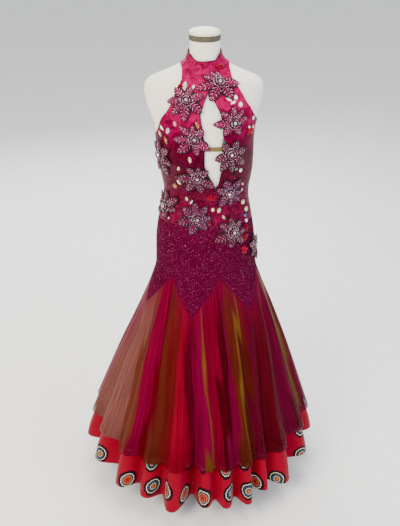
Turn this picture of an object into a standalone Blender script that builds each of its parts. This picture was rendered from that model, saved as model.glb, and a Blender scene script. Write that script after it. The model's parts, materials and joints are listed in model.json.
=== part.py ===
"""Ballroom dance dress with a beaded halter front and a godet skirt, on a limbless dress form.

Metres, +Z up, floor at z = 0. The front faces -Y. A turn is an angle in degrees about the upright
axis, 0 at the front and growing towards +X. The dress is a set of thin walls that follow one
figure, a table of sections from the neck to the hem.
"""

import math

import bpy
from mathutils import Vector

# Walls and clearances
EASE = 0.0015
FORM_INSET = 0.0022
STRETCH_CLOTH = 0.0015
ORGANZA = 0.0010
SEAM_GAP = 0.0003
EDGE_GAP = 0.0006
UNDER_EDGE_GAP = 0.0020
CLOTH_MIDDLE = EASE + STRETCH_CLOTH / 2
OUTER_FACE = EASE + STRETCH_CLOTH

# Heights of the pieces
FORM_BOTTOM = 0.780
FORM_TOP = 1.4815
FRONT_SEAM = 0.936
COLLAR_SEAM = 1.3836
GODET_APEX = 0.762
YOKE_POINT = 0.650
BAND_TOP = 0.215
OVERLAY_HEM = 0.195
OVERLAY_FOLLOWS = 0.1

# The figure: section half width, depth to the front and to the back, and sideways lean
FIGURE = (
    # height, half_width, front, back, lean
    (1.4860, 0.0455, 0.0455, 0.0455, 0.000),
    (1.4480, 0.0462, 0.0462, 0.0470, 0.000),
    (1.4250, 0.0560, 0.0500, 0.0530, 0.000),
    (1.4080, 0.0830, 0.0550, 0.0610, 0.000),
    (1.3900, 0.1220, 0.0630, 0.0700, 0.000),
    (1.3720, 0.1640, 0.0730, 0.0790, -0.001),
    (1.3520, 0.1765, 0.0840, 0.0870, -0.002),
    (1.3340, 0.1765, 0.0920, 0.0920, -0.003),
    (1.2980, 0.1700, 0.1040, 0.0980, -0.003),
    (1.2620, 0.1595, 0.1120, 0.1010, -0.002),
    (1.2250, 0.1490, 0.1180, 0.1010, 0.000),
    (1.1870, 0.1450, 0.1220, 0.0985, 0.001),
    (1.1480, 0.1440, 0.1220, 0.0940, 0.002),
    (1.1100, 0.1410, 0.1160, 0.0890, 0.004),
    (1.0700, 0.1345, 0.1065, 0.0850, 0.006),
    (1.0300, 0.1285, 0.0985, 0.0840, 0.006),
    (1.0100, 0.1290, 0.0965, 0.0855, 0.005),
    (0.9690, 0.1365, 0.0975, 0.0930, 0.004),
    (0.9280, 0.1450, 0.1010, 0.1040, 0.003),
    (0.8850, 0.1515, 0.1040, 0.1170, 0.003),
    (0.8420, 0.1555, 0.1070, 0.1280, 0.004),
    (0.7770, 0.1580, 0.1100, 0.1320, 0.005),
    (0.7100, 0.1780, 0.1290, 0.1490, 0.006),
    (0.6400, 0.2060, 0.1660, 0.1830, 0.006),
    (0.5470, 0.2440, 0.2150, 0.2280, 0.003),
    (0.4490, 0.2840, 0.2640, 0.2720, -0.002),
    (0.3490, 0.3220, 0.3090, 0.3130, -0.006),
    (0.2460, 0.3600, 0.3530, 0.3540, -0.010),
    (0.1390, 0.3980, 0.3950, 0.3950, -0.014),
    (0.0500, 0.4140, 0.4130, 0.4120, -0.018),
)
BUST_REACH = 0.012
BUST_TURN = 30.0
BUST_SPREAD = 20.0
BUST_HEIGHT = 1.165
BUST_FALL = 0.050

# How far the valley between two flutes falls in from the crests, by height
FLUTE_DEPTH = (
    # height, depth
    (0.762, 0.008),
    (0.600, 0.020),
    (0.450, 0.033),
    (0.300, 0.043),
    (0.150, 0.053),
    (0.050, 0.056),
)
CREST_ROUNDNESS = 1.4
OVERLAY_SHARE = 0.55
LAYER_GAP = 0.010
LAYER_STEP = 0.0024
COLUMNS_PER_FLUTE = 6
VALLEY_LIFT = 0.006
LAYER_ROWS = (0.0, 0.10, 0.30, 0.62, 1.0)
BAND_ROWS = (0.0, 0.35, 0.68, 1.0)

# How far below the yoke each change in the skirt's form is complete
FLUTES_FULL = 0.12
GAP_FULL = 0.20
REACH_FULL = 0.35
TURN_FULL = 0.40

YOKE_ROWS = (0.0, 0.22, 0.45, 0.70, 1.0)
YOKE_COLUMN_STEP = 3

# The six godets, each from one yoke point to the next, with its flutes at the hem
GODETS = (
    # name, seam turn at the yoke, seam turn at the hem,
    # flutes: (crest turn, extra reach, hem height, depth of the valley after it)
    ("front_left", -70, -73, ((-62, 0.004, 0.105, 0.9), (-41, 0.006, 0.088, 0.8),
                              (-27, -0.002, 0.084, 0.8), (-13, 0.008, 0.064, 1.25))),
    ("front", -13, -4, ((3, -0.002, 0.080, 0.6), (13, 0.003, 0.074, 0.7),
                        (24, 0.003, 0.070, 0.8), (34, -0.004, 0.092, 0.8))),
    ("front_right", 46, 38, ((46, 0.006, 0.084, 1.1), (67, 0.002, 0.108, 1.0),
                             (87, 0.004, 0.118, 1.0))),
    ("back_right", 106, 98, ((107, 0.002, 0.104, 0.9), (124, 0.005, 0.090, 1.0),
                             (140, -0.002, 0.082, 1.1), (156, 0.004, 0.074, 1.0))),
    ("back_left", 167, 164, ((173, 0.006, 0.068, 1.0), (190, 0.000, 0.072, 0.9),
                             (207, 0.005, 0.080, 1.0), (225, -0.002, 0.088, 1.0))),
    ("side_left", 229, 234, ((243, 0.004, 0.098, 1.0), (260, 0.000, 0.104, 0.9),
                             (277, 0.006, 0.108, 1.0))),
)

# Edges of the halter front, as distances from the middle
ARMHOLE = (
    # height, left, right
    (1.3836, -0.063, 0.077),
    (1.3500, -0.081, 0.101),
    (1.3200, -0.094, 0.118),
    (1.3000, -0.104, 0.131),
    (1.2680, -0.125, 0.146),
    (1.2425, -0.1330, 0.156),
    (1.2160, -0.1420, 0.156),
    (1.2000, -0.1500, 0.156),
)
KEYHOLE = (
    # height, left, right
    (1.3500, 0.008, 0.008),
    (1.3300, 0.000, 0.025),
    (1.3110, -0.006, 0.036),
    (1.2900, -0.0130, 0.046),
    (1.2425, -0.006, 0.0535),
    (1.1900, -0.001, 0.0525),
    (1.1470, -0.001, 0.050),
    (1.1170, 0.008, 0.0465),
    (1.0830, 0.024, 0.042),
    (1.0620, 0.031, 0.031),
)
FRONT_ROWS = (COLLAR_SEAM - SEAM_GAP, 1.350, 1.330, 1.311, 1.290, 1.268, 1.2425, 1.216, 1.200,
              1.168, 1.147, 1.132, 1.117, 1.083, 1.062, 1.032, 1.004, 0.972, FRONT_SEAM + SEAM_GAP)
FRONT_HALF_COLUMNS = 9

# Collar edges by turn from the front, alike on both sides
COLLAR_EDGE = (
    # turn, lower edge, upper edge
    (0, COLLAR_SEAM, 1.4300),
    (34, COLLAR_SEAM, 1.4330),
    (44, 1.3930, 1.4370),
    (58, 1.4050, 1.4450),
    (90, 1.4100, 1.4500),
    (180, 1.4060, 1.4520),
)
COLLAR_COLUMNS = 40
COLLAR_ROWS = (0.0, 0.25, 0.5, 0.75, 1.0)
COLLAR_SEAM_TURN = 0.35

# Upper edge of the low back, from the right side seam to the left one
BACK_EDGE = (
    # turn, height
    (90, 1.2420),
    (102, 1.2100),
    (122, 1.1450),
    (150, 1.0820),
    (180, 1.0600),
    (210, 1.0800),
    (240, 1.1350),
    (260, 1.1850),
    (270, 1.1995),
)
BACK_COLUMNS = 20
BACK_ROWS = 6

# Beaded flowers: where the middle sits, how far its base is lifted so that it only just clears
# the cloth all over, and each petal's direction and length
FLOWERS = (
    # name, turn, height, lift (mm),
    # petals: (direction in degrees, length in mm)
    ("flower_01", 16, 1.376, 0.75,
     ((-159, 56), (-114, 56), (-62, 52), (-11, 44), (70, 28), (120, 30), (160, 40))),
    ("flower_02", -16, 1.330, 0.65,
     ((-172, 50), (-138, 56), (-101, 54), (-40, 46), (14, 40), (70, 30), (140, 40))),
    ("flower_03", 32, 1.264, 0.74,
     ((-134, 38), (-60, 34), (15, 36), (60, 36), (100, 42), (140, 46), (180, 50))),
    ("flower_04", -11, 1.221, 0.98,
     ((-177, 52), (-142, 52), (-82, 38), (-35, 42), (50, 34), (92, 36), (136, 45))),
    ("flower_05", -62, 1.156, 0.74,
     ((-161, 48), (-116, 50), (-66, 54), (-15, 46), (31, 44), (90, 38), (150, 46))),
    ("flower_06", -10, 1.105, 0.91,
     ((-172, 54), (-129, 52), (-80, 46), (-34, 48), (40, 36), (82, 34), (124, 38))),
    ("flower_07", 28, 1.176, 0.98,
     ((-165, 40), (-125, 46), (-85, 44), (-35, 50), (8, 46), (55, 36), (125, 34))),
    ("flower_08", 30, 1.045, 0.96,
     ((-123, 42), (-80, 38), (-40, 42), (0, 36), (53, 46), (106, 46), (152, 36))),
    ("flower_09", -64, 0.982, 1.38,
     ((-148, 48), (-72, 34), (0, 36), (44, 52), (90, 46), (135, 50), (177, 46))),
    ("flower_10", -10, 0.962, 0.84,
     ((-164, 54), (-110, 44), (-50, 36), (10, 34), (60, 44), (104, 50), (146, 52))),
    ("flower_11", 35, 0.912, 0.68,
     ((-160, 52), (-107, 42), (-52, 42), (0, 34), (54, 38), (99, 44), (141, 46))),
    ("flower_12", 74, 0.846, 1.91,
     ((-120, 32), (-76, 50), (-20, 26), (40, 28), (94, 32), (160, 28))),
)
FLOWER_EDGE = 0.0022
FLOWER_MIDDLE = 0.0085
PETAL_SPREAD = 26.0
PETAL_SHARE = 0.46
PETAL_SHOULDER = 0.62
PETAL_NOTCH = 0.40
FLOWER_RING = 0.45

# Small folded pieces of red cloth, and the largest set stones
RED_FOLDS = (
    # name, turn, height, lift, across, tall (mm)
    ("red_fold_1", 34, 1.412, 0.68, 20, 16),
    ("red_fold_2", 60, 1.232, 0.83, 26, 22),
    ("red_fold_3", 7, 1.034, 0.61, 26, 18),
    ("red_fold_4", 57, 0.914, 0.11, 16, 18),
    ("red_fold_5", 53, 0.886, 0.34, 18, 18),
    ("red_fold_6", 50, 0.846, -0.36, 20, 20),
    ("red_fold_7", -23, 1.364, -0.48, 16, 12),
)
STONES = (
    # name, turn, height, lift, across, tall (mm)
    ("stone_1", -31, 1.262, 0.22, 10, 16),
    ("stone_2", -44, 1.064, 0.58, 15, 20),
    ("stone_3", -27, 1.026, 0.57, 10, 16),
    ("stone_4", 9, 0.993, 0.36, 11, 15),
    ("stone_5", 58, 1.000, 0.66, 16, 16),
    ("stone_6", 64, 0.973, 0.5, 16, 16),
    ("stone_7", 44, 1.118, 0.31, 12, 15),
    ("stone_8", -31, 1.132, 0.37, 9, 16),
)
FOLD_SIDES = 8
FOLD_HEIGHT = 0.008
STONE_SIDES = 6
STONE_HEIGHT = 0.0045
SMALL_RING = 0.60
SMALL_EDGE_SHARE = 0.35
SMALL_RING_SHARE = 0.90

STRAP_HALF_HEIGHT = 0.0062
STRAP_HEIGHT = 1.1940
STRAP_COLUMNS = 6

# Dress form and its hidden stand
FORM_COLUMNS = 36
FORM_RINGS = (FORM_BOTTOM, 0.820, 0.870, 0.920, 0.968, 1.005, 1.035, 1.070, 1.110, 1.145,
              1.175, 1.205, 1.235, 1.268, 1.300, 1.330, 1.352, 1.367, 1.380, 1.394, 1.408,
              1.425, 1.448, FORM_TOP)
NECK_RADIUS = 0.0458
NECK_BAND_TOP = 1.4975
NECK_CAP_TOP = 1.5120
NECK_CAP_ROUND = 0.008
NECK_CAP_STEPS = 3
FLANGE_RADIUS = 0.045
FLANGE_THICKNESS = 0.010
POLE_RADIUS = 0.0125
BASE_RADIUS = 0.170
BASE_THICKNESS = 0.014
BASE_ROUND = 0.005
TURNED_STEPS = 32

COLOURS = {
    "form_linen": (0.80, 0.76, 0.68, 0.85, 0.0),
    "neck_tape": (0.10, 0.09, 0.07, 0.70, 0.0),
    "stand_metal": (0.72, 0.72, 0.74, 0.30, 1.0),
    "magenta_stretch": (0.55, 0.02, 0.13, 0.55, 0.0),
    "wine_sparkle": (0.22, 0.01, 0.07, 0.45, 0.0),
    "organza": (0.38, 0.03, 0.05, 0.40, 0.0),
    "organza_under": (0.30, 0.02, 0.04, 0.45, 0.0),
    "hem_print": (0.52, 0.01, 0.03, 0.60, 0.0),
    "strap_olive": (0.25, 0.18, 0.03, 0.60, 0.0),
    "beaded_petal": (0.30, 0.14, 0.19, 0.35, 0.3),
    "red_cloth": (0.60, 0.01, 0.03, 0.50, 0.0),
    "set_stone": (0.80, 0.80, 0.66, 0.15, 0.0),
}


def read(table, at):
    """Every column of a table at one key, by cubic steps that never overshoot their rows."""
    rows = sorted(table)
    at = min(max(at, rows[0][0]), rows[-1][0])
    k = max(i for i in range(len(rows) - 1) if rows[i][0] <= at)
    low, high = rows[k], rows[k + 1]
    run = high[0] - low[0]
    t = (at - low[0]) / run
    values = []
    for c in range(1, len(low)):
        rise = (high[c] - low[c]) / run
        slopes = [rise, rise]
        for end, here, other in ((0, low, k - 1), (1, high, k + 2)):
            if 0 <= other < len(rows):
                past = (here[c] - rows[other][c]) / (here[0] - rows[other][0])
                slopes[end] = 2 * past * rise / (past + rise) if past * rise > 0 else 0.0
        values.append(
            low[c] * (1 + 2 * t) * (1 - t) ** 2
            + run * slopes[0] * t * (1 - t) ** 2
            + high[c] * t * t * (3 - 2 * t)
            - run * slopes[1] * t * t * (1 - t)
        )
    return values


def straight(table, at):
    """Every column of a table at one key, by straight steps."""
    rows = sorted(table)
    at = min(max(at, rows[0][0]), rows[-1][0])
    k = max(i for i in range(len(rows) - 1) if rows[i][0] <= at)
    t = (at - rows[k][0]) / (rows[k + 1][0] - rows[k][0])
    return [a + (b - a) * t for a, b in zip(rows[k][1:], rows[k + 1][1:])]


def soft(share):
    """0 below 0, 1 above 1, and a smooth step between."""
    share = min(max(share, 0.0), 1.0)
    return share * share * (3 - 2 * share)


def figure(turn, height):
    """A point of the figure that the dress hangs on."""
    half_width, front, back, lean = read(FIGURE, height)
    across, ahead = math.sin(math.radians(turn)), math.cos(math.radians(turn))
    near = sum(math.exp(-(((turn - side * BUST_TURN) / BUST_SPREAD) ** 2)) for side in (-1, 1))
    swell = BUST_REACH * near * math.exp(-(((height - BUST_HEIGHT) / BUST_FALL) ** 2))
    depth = front + swell if ahead > 0 else back
    return Vector((lean + (half_width + swell) * across, -depth * ahead, height))


def outward(turn, height):
    """The figure's normal."""
    step, rise = 0.5, 0.003
    round_way = figure(turn + step, height) - figure(turn - step, height)
    up_way = figure(turn, height + rise) - figure(turn, height - rise)
    return round_way.cross(up_way).normalized()


def form_point(turn, height):
    """A point of the dress form, level with the figure's and a little inside it."""
    out = outward(turn, height)
    return figure(turn, height) - Vector((out.x, out.y, 0)).normalized() * FORM_INSET


def turn_at(distance, height):
    """The turn at which the figure's front is this far to the side of the middle."""
    half_width, _, _, lean = read(FIGURE, height)
    return math.degrees(math.asin(min(max((distance - lean) / half_width, -1.0), 1.0)))


def material(name):
    """The plain material of one finish."""
    found = bpy.data.materials.get(name)
    if found:
        return found
    red, green, blue, roughness, metallic = COLOURS[name]
    made = bpy.data.materials.new(name)
    made.use_nodes = True
    shader = made.node_tree.nodes["Principled BSDF"]
    shader.inputs["Base Color"].default_value = (red, green, blue, 1.0)
    shader.inputs["Roughness"].default_value = roughness
    shader.inputs["Metallic"].default_value = metallic
    made.diffuse_color = (red, green, blue, 1.0)
    return made


def add_object(name, points, faces, finish, collection, smooth=True):
    """One named object from points and faces."""
    mesh = bpy.data.meshes.new(name)
    mesh.from_pydata([tuple(p) for p in points], [], faces)
    mesh.validate()
    mesh.materials.append(material(finish))
    if smooth:
        mesh.shade_smooth()
    made = bpy.data.objects.new(name, mesh)
    collection.objects.link(made)
    return made


def turned(name, profile, finish, collection):
    """A turned piece from a profile that starts and ends on the axis, down its outer side."""
    made = add_object(name, [(r, 0.0, z) for r, z in profile], [], finish, collection)
    for k in range(len(profile) - 1):
        made.data.edges.add(1)
        made.data.edges[-1].vertices = (k, k + 1)
    made.data.update()
    screw = made.modifiers.new("Turned", "SCREW")
    screw.steps = screw.render_steps = TURNED_STEPS
    screw.use_merge_vertices = True
    screw.merge_threshold = 0.0001
    screw.use_smooth_shade = False
    return made


def loft(name, rings, finish, collection):
    """A closed solid through rings of points, from the lowest to the highest."""
    count = len(rings[0])
    points = [p for ring in rings for p in ring]
    faces = []
    for low in range(0, (len(rings) - 1) * count, count):
        high = low + count
        for c in range(count):
            following = (c + 1) % count
            faces.append((low + c, low + following, high + following, high + c))
    faces.append(tuple(reversed(range(count))))
    faces.append(tuple(range(len(points) - count, len(points))))
    return add_object(name, points, faces, finish, collection)


def wall(name, middles, normals, faces, half, finish, collection):
    """A cloth wall: an open sheet's points moved out and in by half its thickness, and its rim.

    Neighbours share their normals at a seam, so they keep the same gap through the thickness. An
    inner face starts at the same corner as its outer one, so both split along the same diagonal.
    """
    count = len(middles)
    outer = [p + n * half for p, n in zip(middles, normals)]
    inner = [p - n * half for p, n in zip(middles, normals)]
    edges = {(face[k], face[(k + 1) % len(face)]) for face in faces for k in range(len(face))}
    rim = [(b, a, a + count, b + count) for a, b in sorted(edges) if (b, a) not in edges]
    back = [tuple(count + i for i in (face[0], *face[:0:-1])) for face in faces]
    return add_object(name, outer + inner, list(faces) + back + rim, finish, collection)


def grid_faces(rows, columns, closed=False):
    """Quads of a grid whose rows run down and whose columns run with the turn."""
    faces = []
    for high in range(0, (rows - 1) * columns, columns):
        low = high + columns
        for c in range(columns if closed else columns - 1):
            following = (c + 1) % columns
            faces.append((high + c, low + c, low + following, high + following))
    return faces


def on_figure(name, grid, finish, collection, faces=None):
    """A wall of stretch cloth whose points, rows of (turn, height), lie close to the figure."""
    places = [place for row in grid for place in row]
    normals = [outward(*place) for place in places]
    middles = [figure(*place) + n * CLOTH_MIDDLE for place, n in zip(places, normals)]
    faces = faces or grid_faces(len(grid), len(grid[0]))
    return wall(name, middles, normals, faces, STRETCH_CLOTH / 2, finish, collection)


def skirt_columns():
    """Every column round the skirt: godet, edge height, turns at yoke and hem, fall, reach, hem."""
    flutes = [flute for godet in GODETS for flute in godet[3]]
    columns = []
    number = 0
    for g, (name, seam_top, seam_hem, own) in enumerate(GODETS):
        following = GODETS[(g + 1) % len(GODETS)]
        wrap = 360 if g + 1 == len(GODETS) else 0
        end_top, end_hem = following[1] + wrap, following[2] + wrap
        valleys = [seam_hem]
        valleys += [(a[0] + b[0]) / 2 for a, b in zip(own, own[1:])]
        valleys.append(end_hem)
        for k, (crest, reach, hem, depth) in enumerate(own):
            before, after = flutes[number - 1], flutes[(number + 1) % len(flutes)]
            for step in range(COLUMNS_PER_FLUTE):
                phase = step / COLUMNS_PER_FLUTE
                fall = (0.5 + 0.5 * math.cos(2 * math.pi * phase)) ** CREST_ROUNDNESS
                share = (k + phase) / len(own)
                if phase < 0.5:
                    turn = valleys[k] + (crest - valleys[k]) * 2 * phase
                    valley_depth, neighbour = before[3], before
                else:
                    turn = crest + (valleys[k + 1] - crest) * (2 * phase - 1)
                    valley_depth, neighbour = depth, after
                low = (hem + neighbour[2]) / 2 + VALLEY_LIFT
                columns.append({
                    "godet": name,
                    "top_turn": seam_top + (end_top - seam_top) * share,
                    "hem_turn": turn,
                    "edge": YOKE_POINT + (GODET_APEX - YOKE_POINT) * (1 - abs(2 * share - 1)),
                    "fall": fall * valley_depth,
                    "reach": reach * (1 - fall),
                    "hem": hem * (1 - fall) + low * fall,
                })
            number += 1
    return columns


def skirt_point(column, height, share, gap, inset):
    """A skirt layer's point: the figure, drawn in at the valleys and pushed out at the crests."""
    below = column["edge"] - height
    turn = column["top_turn"] + (column["hem_turn"] - column["top_turn"]) * soft(below / TURN_FULL)
    base = figure(turn, height) + outward(turn, height) * OUTER_FACE
    depth = read(FLUTE_DEPTH, height)[0] * column["fall"] * share * soft(below / FLUTES_FULL)
    inwards = depth + inset + gap * soft(below / GAP_FULL) - column["reach"] * soft(below / REACH_FULL)
    middle = Vector((read(FIGURE, height)[3], 0.0, height))
    away = base - middle
    return middle + away * (1 - inwards / away.length)


def ring_normals(grid):
    """Normals of a grid that closes round, from the differences between neighbours."""
    rows, count = len(grid), len(grid[0])
    normals = []
    for r in range(rows):
        above, below = grid[max(r - 1, 0)], grid[min(r + 1, rows - 1)]
        normals.append([
            (grid[r][(c + 1) % count] - grid[r][c - 1]).cross(above[c] - below[c]).normalized()
            for c in range(count)
        ])
    return normals


def skirt_layer(prefix, columns, edges, rows, form, half, finish, collection):
    """One layer of the skirt as six panels, a godet each, with the seam gap between them.

    Edges are the upper and lower one as functions of a column; the form is the layer's share of
    the flutes' depth, its gap behind the layer over it, and its inset.
    """
    top, bottom = edges
    grid = []
    for t in rows:
        heights = [top(column) + (bottom(column) - top(column)) * t for column in columns]
        grid.append([skirt_point(column, height, *form) for column, height in zip(columns, heights)])
    normals = ring_normals(grid)
    start = 0
    for name, _, _, flutes in GODETS:
        width = len(flutes) * COLUMNS_PER_FLUTE + 1
        picks = [(start + c) % len(columns) for c in range(width)]
        middles, panel_normals = [], []
        for points, row_normals in zip(grid, normals):
            line = [points[i].copy() for i in picks]
            line[0] += (line[1] - line[0]).normalized() * SEAM_GAP / 2
            line[-1] += (line[-2] - line[-1]).normalized() * SEAM_GAP / 2
            middles += line
            panel_normals += [row_normals[i] for i in picks]
        faces = grid_faces(len(grid), width)
        wall(f"{prefix}_{name}", middles, panel_normals, faces, half, finish, collection)
        start += width - 1


def add_skirt(collection):
    """Organza overlay, the layer under it, and the printed band that the under layer carries."""
    columns = skirt_columns()
    overlay_edges = (
        lambda column: column["edge"] - EDGE_GAP,
        lambda column: OVERLAY_HEM + OVERLAY_FOLLOWS * column["hem"],
    )
    under_edges = (lambda column: column["edge"] - UNDER_EDGE_GAP, lambda column: BAND_TOP)
    band_edges = (lambda column: BAND_TOP - SEAM_GAP, lambda column: column["hem"])
    overlay_form = (OVERLAY_SHARE, 0.0, ORGANZA / 2)
    under_form = (1.0, LAYER_GAP, LAYER_STEP)
    skirt_layer("overlay", columns, overlay_edges, LAYER_ROWS, overlay_form,
                ORGANZA / 2, "organza", collection)
    skirt_layer("underskirt", columns, under_edges, LAYER_ROWS, under_form,
                ORGANZA / 2, "organza_under", collection)
    skirt_layer("hem_band", columns, band_edges, BAND_ROWS, under_form,
                STRETCH_CLOTH / 2, "hem_print", collection)


def add_yoke(collection):
    """The hip yoke, a closed tube whose lower edge runs up between the godets."""
    columns = skirt_columns()[::YOKE_COLUMN_STEP]
    top = FRONT_SEAM - SEAM_GAP
    grid = [[(c["top_turn"], top + (c["edge"] - top) * t) for c in columns] for t in YOKE_ROWS]
    faces = grid_faces(len(grid), len(columns), closed=True)
    on_figure("yoke", grid, "wine_sparkle", collection, faces)


def add_front(collection):
    """The halter front, open at the keyhole, from the collar seam to the yoke seam."""
    places, index, rows = [], {}, []
    for height in FRONT_ROWS:
        left, right = straight(ARMHOLE, height)
        hole_left, hole_right = straight(KEYHOLE, height)
        side = 90 - seam_turn(height)
        ends = (
            max(turn_at(left, height), -side),
            turn_at(hole_left, height),
            turn_at(hole_right, height),
            min(turn_at(right, height), side),
        )
        row = []
        for start, end in (ends[:2], ends[2:]):
            for c in range(FRONT_HALF_COLUMNS + 1):
                place = (start + (end - start) * c / FRONT_HALF_COLUMNS, height)
                key = (round(place[0], 4), height)
                if key not in index:
                    index[key] = len(places)
                    places.append(place)
                row.append(index[key])
        rows.append(row)
    faces = []
    for above, below in zip(rows, rows[1:]):
        for c in range(2 * FRONT_HALF_COLUMNS + 1):
            if c != FRONT_HALF_COLUMNS:
                corners = (below[c], below[c + 1], above[c + 1], above[c])
                faces.append(tuple(dict.fromkeys(corners)))
    on_figure("front", [places], "magenta_stretch", collection, faces)


def seam_turn(height):
    """Half the seam gap as a turn, at this height."""
    return math.degrees(SEAM_GAP / 2 / read(FIGURE, height)[1])


def add_back(collection):
    """The low back, between the side seams."""
    grid = []
    for r in range(BACK_ROWS + 1):
        row = []
        for c in range(BACK_COLUMNS + 1):
            turn = 90 + 180 * c / BACK_COLUMNS
            top = read(BACK_EDGE, turn)[0]
            height = top + (FRONT_SEAM + SEAM_GAP - top) * r / BACK_ROWS
            nudge = seam_turn(height) * ((c == 0) - (c == BACK_COLUMNS))
            row.append((turn + nudge, height))
        grid.append(row)
    on_figure("back", grid, "magenta_stretch", collection)


def add_collar(collection):
    """The stand collar, a band round the neck that meets itself at the middle of the back."""
    grid = []
    for t in COLLAR_ROWS:
        row = []
        for c in range(COLLAR_COLUMNS + 1):
            turn = -180 + 360 * c / COLLAR_COLUMNS
            low, high = straight(COLLAR_EDGE, abs(turn))
            nudge = COLLAR_SEAM_TURN * ((c == 0) - (c == COLLAR_COLUMNS))
            row.append((turn + nudge, high + (low - high) * t))
        grid.append(row)
    on_figure("collar", grid, "magenta_stretch", collection)


def add_strap(collection):
    """The narrow strap that ties the two sides of the keyhole together."""
    left, right = straight(KEYHOLE, STRAP_HEIGHT)
    gap = 2 * SEAM_GAP
    grid = []
    for height in (STRAP_HEIGHT + STRAP_HALF_HEIGHT, STRAP_HEIGHT - STRAP_HALF_HEIGHT):
        start, end = turn_at(left + gap, height), turn_at(right - gap, height)
        step = (end - start) / STRAP_COLUMNS
        grid.append([(start + step * c, height) for c in range(STRAP_COLUMNS + 1)])
    on_figure("keyhole_strap", grid, "strap_olive", collection)


def placer(turn, height, base):
    """A function that lays (across, up, out) on the dress round one place of the figure."""
    step, rise = 0.5, 0.003
    across = (figure(turn + step, height) - figure(turn - step, height)).length / (2 * step)
    up = (figure(turn, height + rise) - figure(turn, height - rise)).length / (2 * rise)

    def lay(x, y, out):
        here = (turn + x / across, height + y / up)
        return figure(*here) + outward(*here) * (OUTER_FACE + base + out)

    return lay


def boss(name, lay, outline, lobe, ring, heights, finish, collection):
    """A low raised piece: its outline, a ring part of the way in, and a middle, over a base.

    A lobe is the number of outline points from one notch to the next.
    """
    count = len(outline)
    edge, shoulder, middle = heights
    points = [lay(x, y, edge) for x, y in outline]
    points += [lay(x * ring, y * ring, shoulder) for x, y in outline]
    points.append(lay(0, 0, middle))
    points += [lay(x, y, 0) for x, y in outline]
    points.append(lay(0, 0, 0))
    under = 2 * count + 1
    faces = []
    for a in range(count):
        b = (a + 1) % count
        faces.append((a, b, count + b, count + a))
        faces.append((count + a, count + b, 2 * count))
        faces.append((under + a, under + b, b, a))
    for a in range(0, count, lobe):
        b = (a + lobe) % count
        if lobe > 1:
            faces.append(tuple(under + (a + k) % count for k in range(lobe, -1, -1)))
        faces.append((under + b, under + a, under + count))
    return add_object(name, points, faces, finish, collection)


def polar(direction, length):
    """A flat point in metres, from a direction in degrees and a length in mm."""
    angle = math.radians(direction)
    return (length / 1000 * math.cos(angle), length / 1000 * math.sin(angle))


def petal_outline(petals):
    """A flower's outline in metres: for each petal a notch, a shoulder, the tip and a shoulder."""
    petals = sorted(petals)
    outline = []
    for k, (direction, length) in enumerate(petals):
        last_direction, last_length = petals[k - 1]
        between = direction - last_direction + (360 if k == 0 else 0)
        following = petals[(k + 1) % len(petals)][0] + (360 if k + 1 == len(petals) else 0)
        before = min(PETAL_SPREAD, between * PETAL_SHARE)
        after = min(PETAL_SPREAD, (following - direction) * PETAL_SHARE)
        outline += [
            polar(direction - between / 2, PETAL_NOTCH * (length + last_length) / 2),
            polar(direction - before, PETAL_SHOULDER * length),
            polar(direction, length),
            polar(direction + after, PETAL_SHOULDER * length),
        ]
    return outline


def add_flowers(collection):
    """The beaded flowers, each one stiff piece laid on the front."""
    for name, turn, height, lift, petals in FLOWERS:
        lay = placer(turn, height, lift / 1000)
        heights = (FLOWER_EDGE, FLOWER_EDGE * 2, FLOWER_MIDDLE)
        boss(name, lay, petal_outline(petals), 4, FLOWER_RING, heights, "beaded_petal", collection)


def add_small_pieces(collection):
    """Folded red cloth and the largest stones, each a low boss."""
    for table, sides, top, finish in (
        (RED_FOLDS, FOLD_SIDES, FOLD_HEIGHT, "red_cloth"),
        (STONES, STONE_SIDES, STONE_HEIGHT, "set_stone"),
    ):
        for name, turn, height, lift, across, tall in table:
            outline = []
            for k in range(sides):
                angle = 2 * math.pi * (k + 0.5) / sides
                outline.append((across / 2000 * math.cos(angle), tall / 2000 * math.sin(angle)))
            lay = placer(turn, height, lift / 1000)
            heights = (top * SMALL_EDGE_SHARE, top * SMALL_RING_SHARE, top)
            boss(name, lay, outline, 1, SMALL_RING, heights, finish, collection)


def disc(radius, top, low):
    """The profile of a plain round plate or rod."""
    return [(0, top), (radius, top), (radius, low), (0, low)]


def add_form(collection):
    """The dress form: torso and neck in one, its neck tape and cap, and the stand under it."""
    turns = [360 * c / FORM_COLUMNS - 180 for c in range(FORM_COLUMNS)]
    rings = [[form_point(turn, height) for turn in turns] for height in FORM_RINGS]
    loft("form_torso", rings, "form_linen", collection)
    tape = disc(NECK_RADIUS, NECK_BAND_TOP, FORM_TOP + SEAM_GAP)
    turned("neck_band", tape, "neck_tape", collection)
    cap = [(0, NECK_CAP_TOP)]
    for k in range(NECK_CAP_STEPS + 1):
        angle = math.pi / 2 * (1 - k / NECK_CAP_STEPS)
        radius = NECK_RADIUS - NECK_CAP_ROUND * (1 - math.cos(angle))
        cap.append((radius, NECK_CAP_TOP - NECK_CAP_ROUND * (1 - math.sin(angle))))
    cap_low = NECK_BAND_TOP + SEAM_GAP
    cap += [(NECK_RADIUS, cap_low), (0, cap_low)]
    turned("neck_cap", cap, "form_linen", collection)
    flange_top = FORM_BOTTOM - SEAM_GAP
    flange_low = flange_top - FLANGE_THICKNESS
    turned("stand_flange", disc(FLANGE_RADIUS, flange_top, flange_low), "stand_metal", collection)
    pole = disc(POLE_RADIUS, flange_low - SEAM_GAP, BASE_THICKNESS + SEAM_GAP)
    turned("stand_pole", pole, "stand_metal", collection)
    base = [
        (0, BASE_THICKNESS),
        (BASE_RADIUS - BASE_ROUND, BASE_THICKNESS),
        (BASE_RADIUS, BASE_THICKNESS - BASE_ROUND),
        (BASE_RADIUS, 0),
        (0, 0),
    ]
    turned("stand_base", base, "stand_metal", collection)


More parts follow.
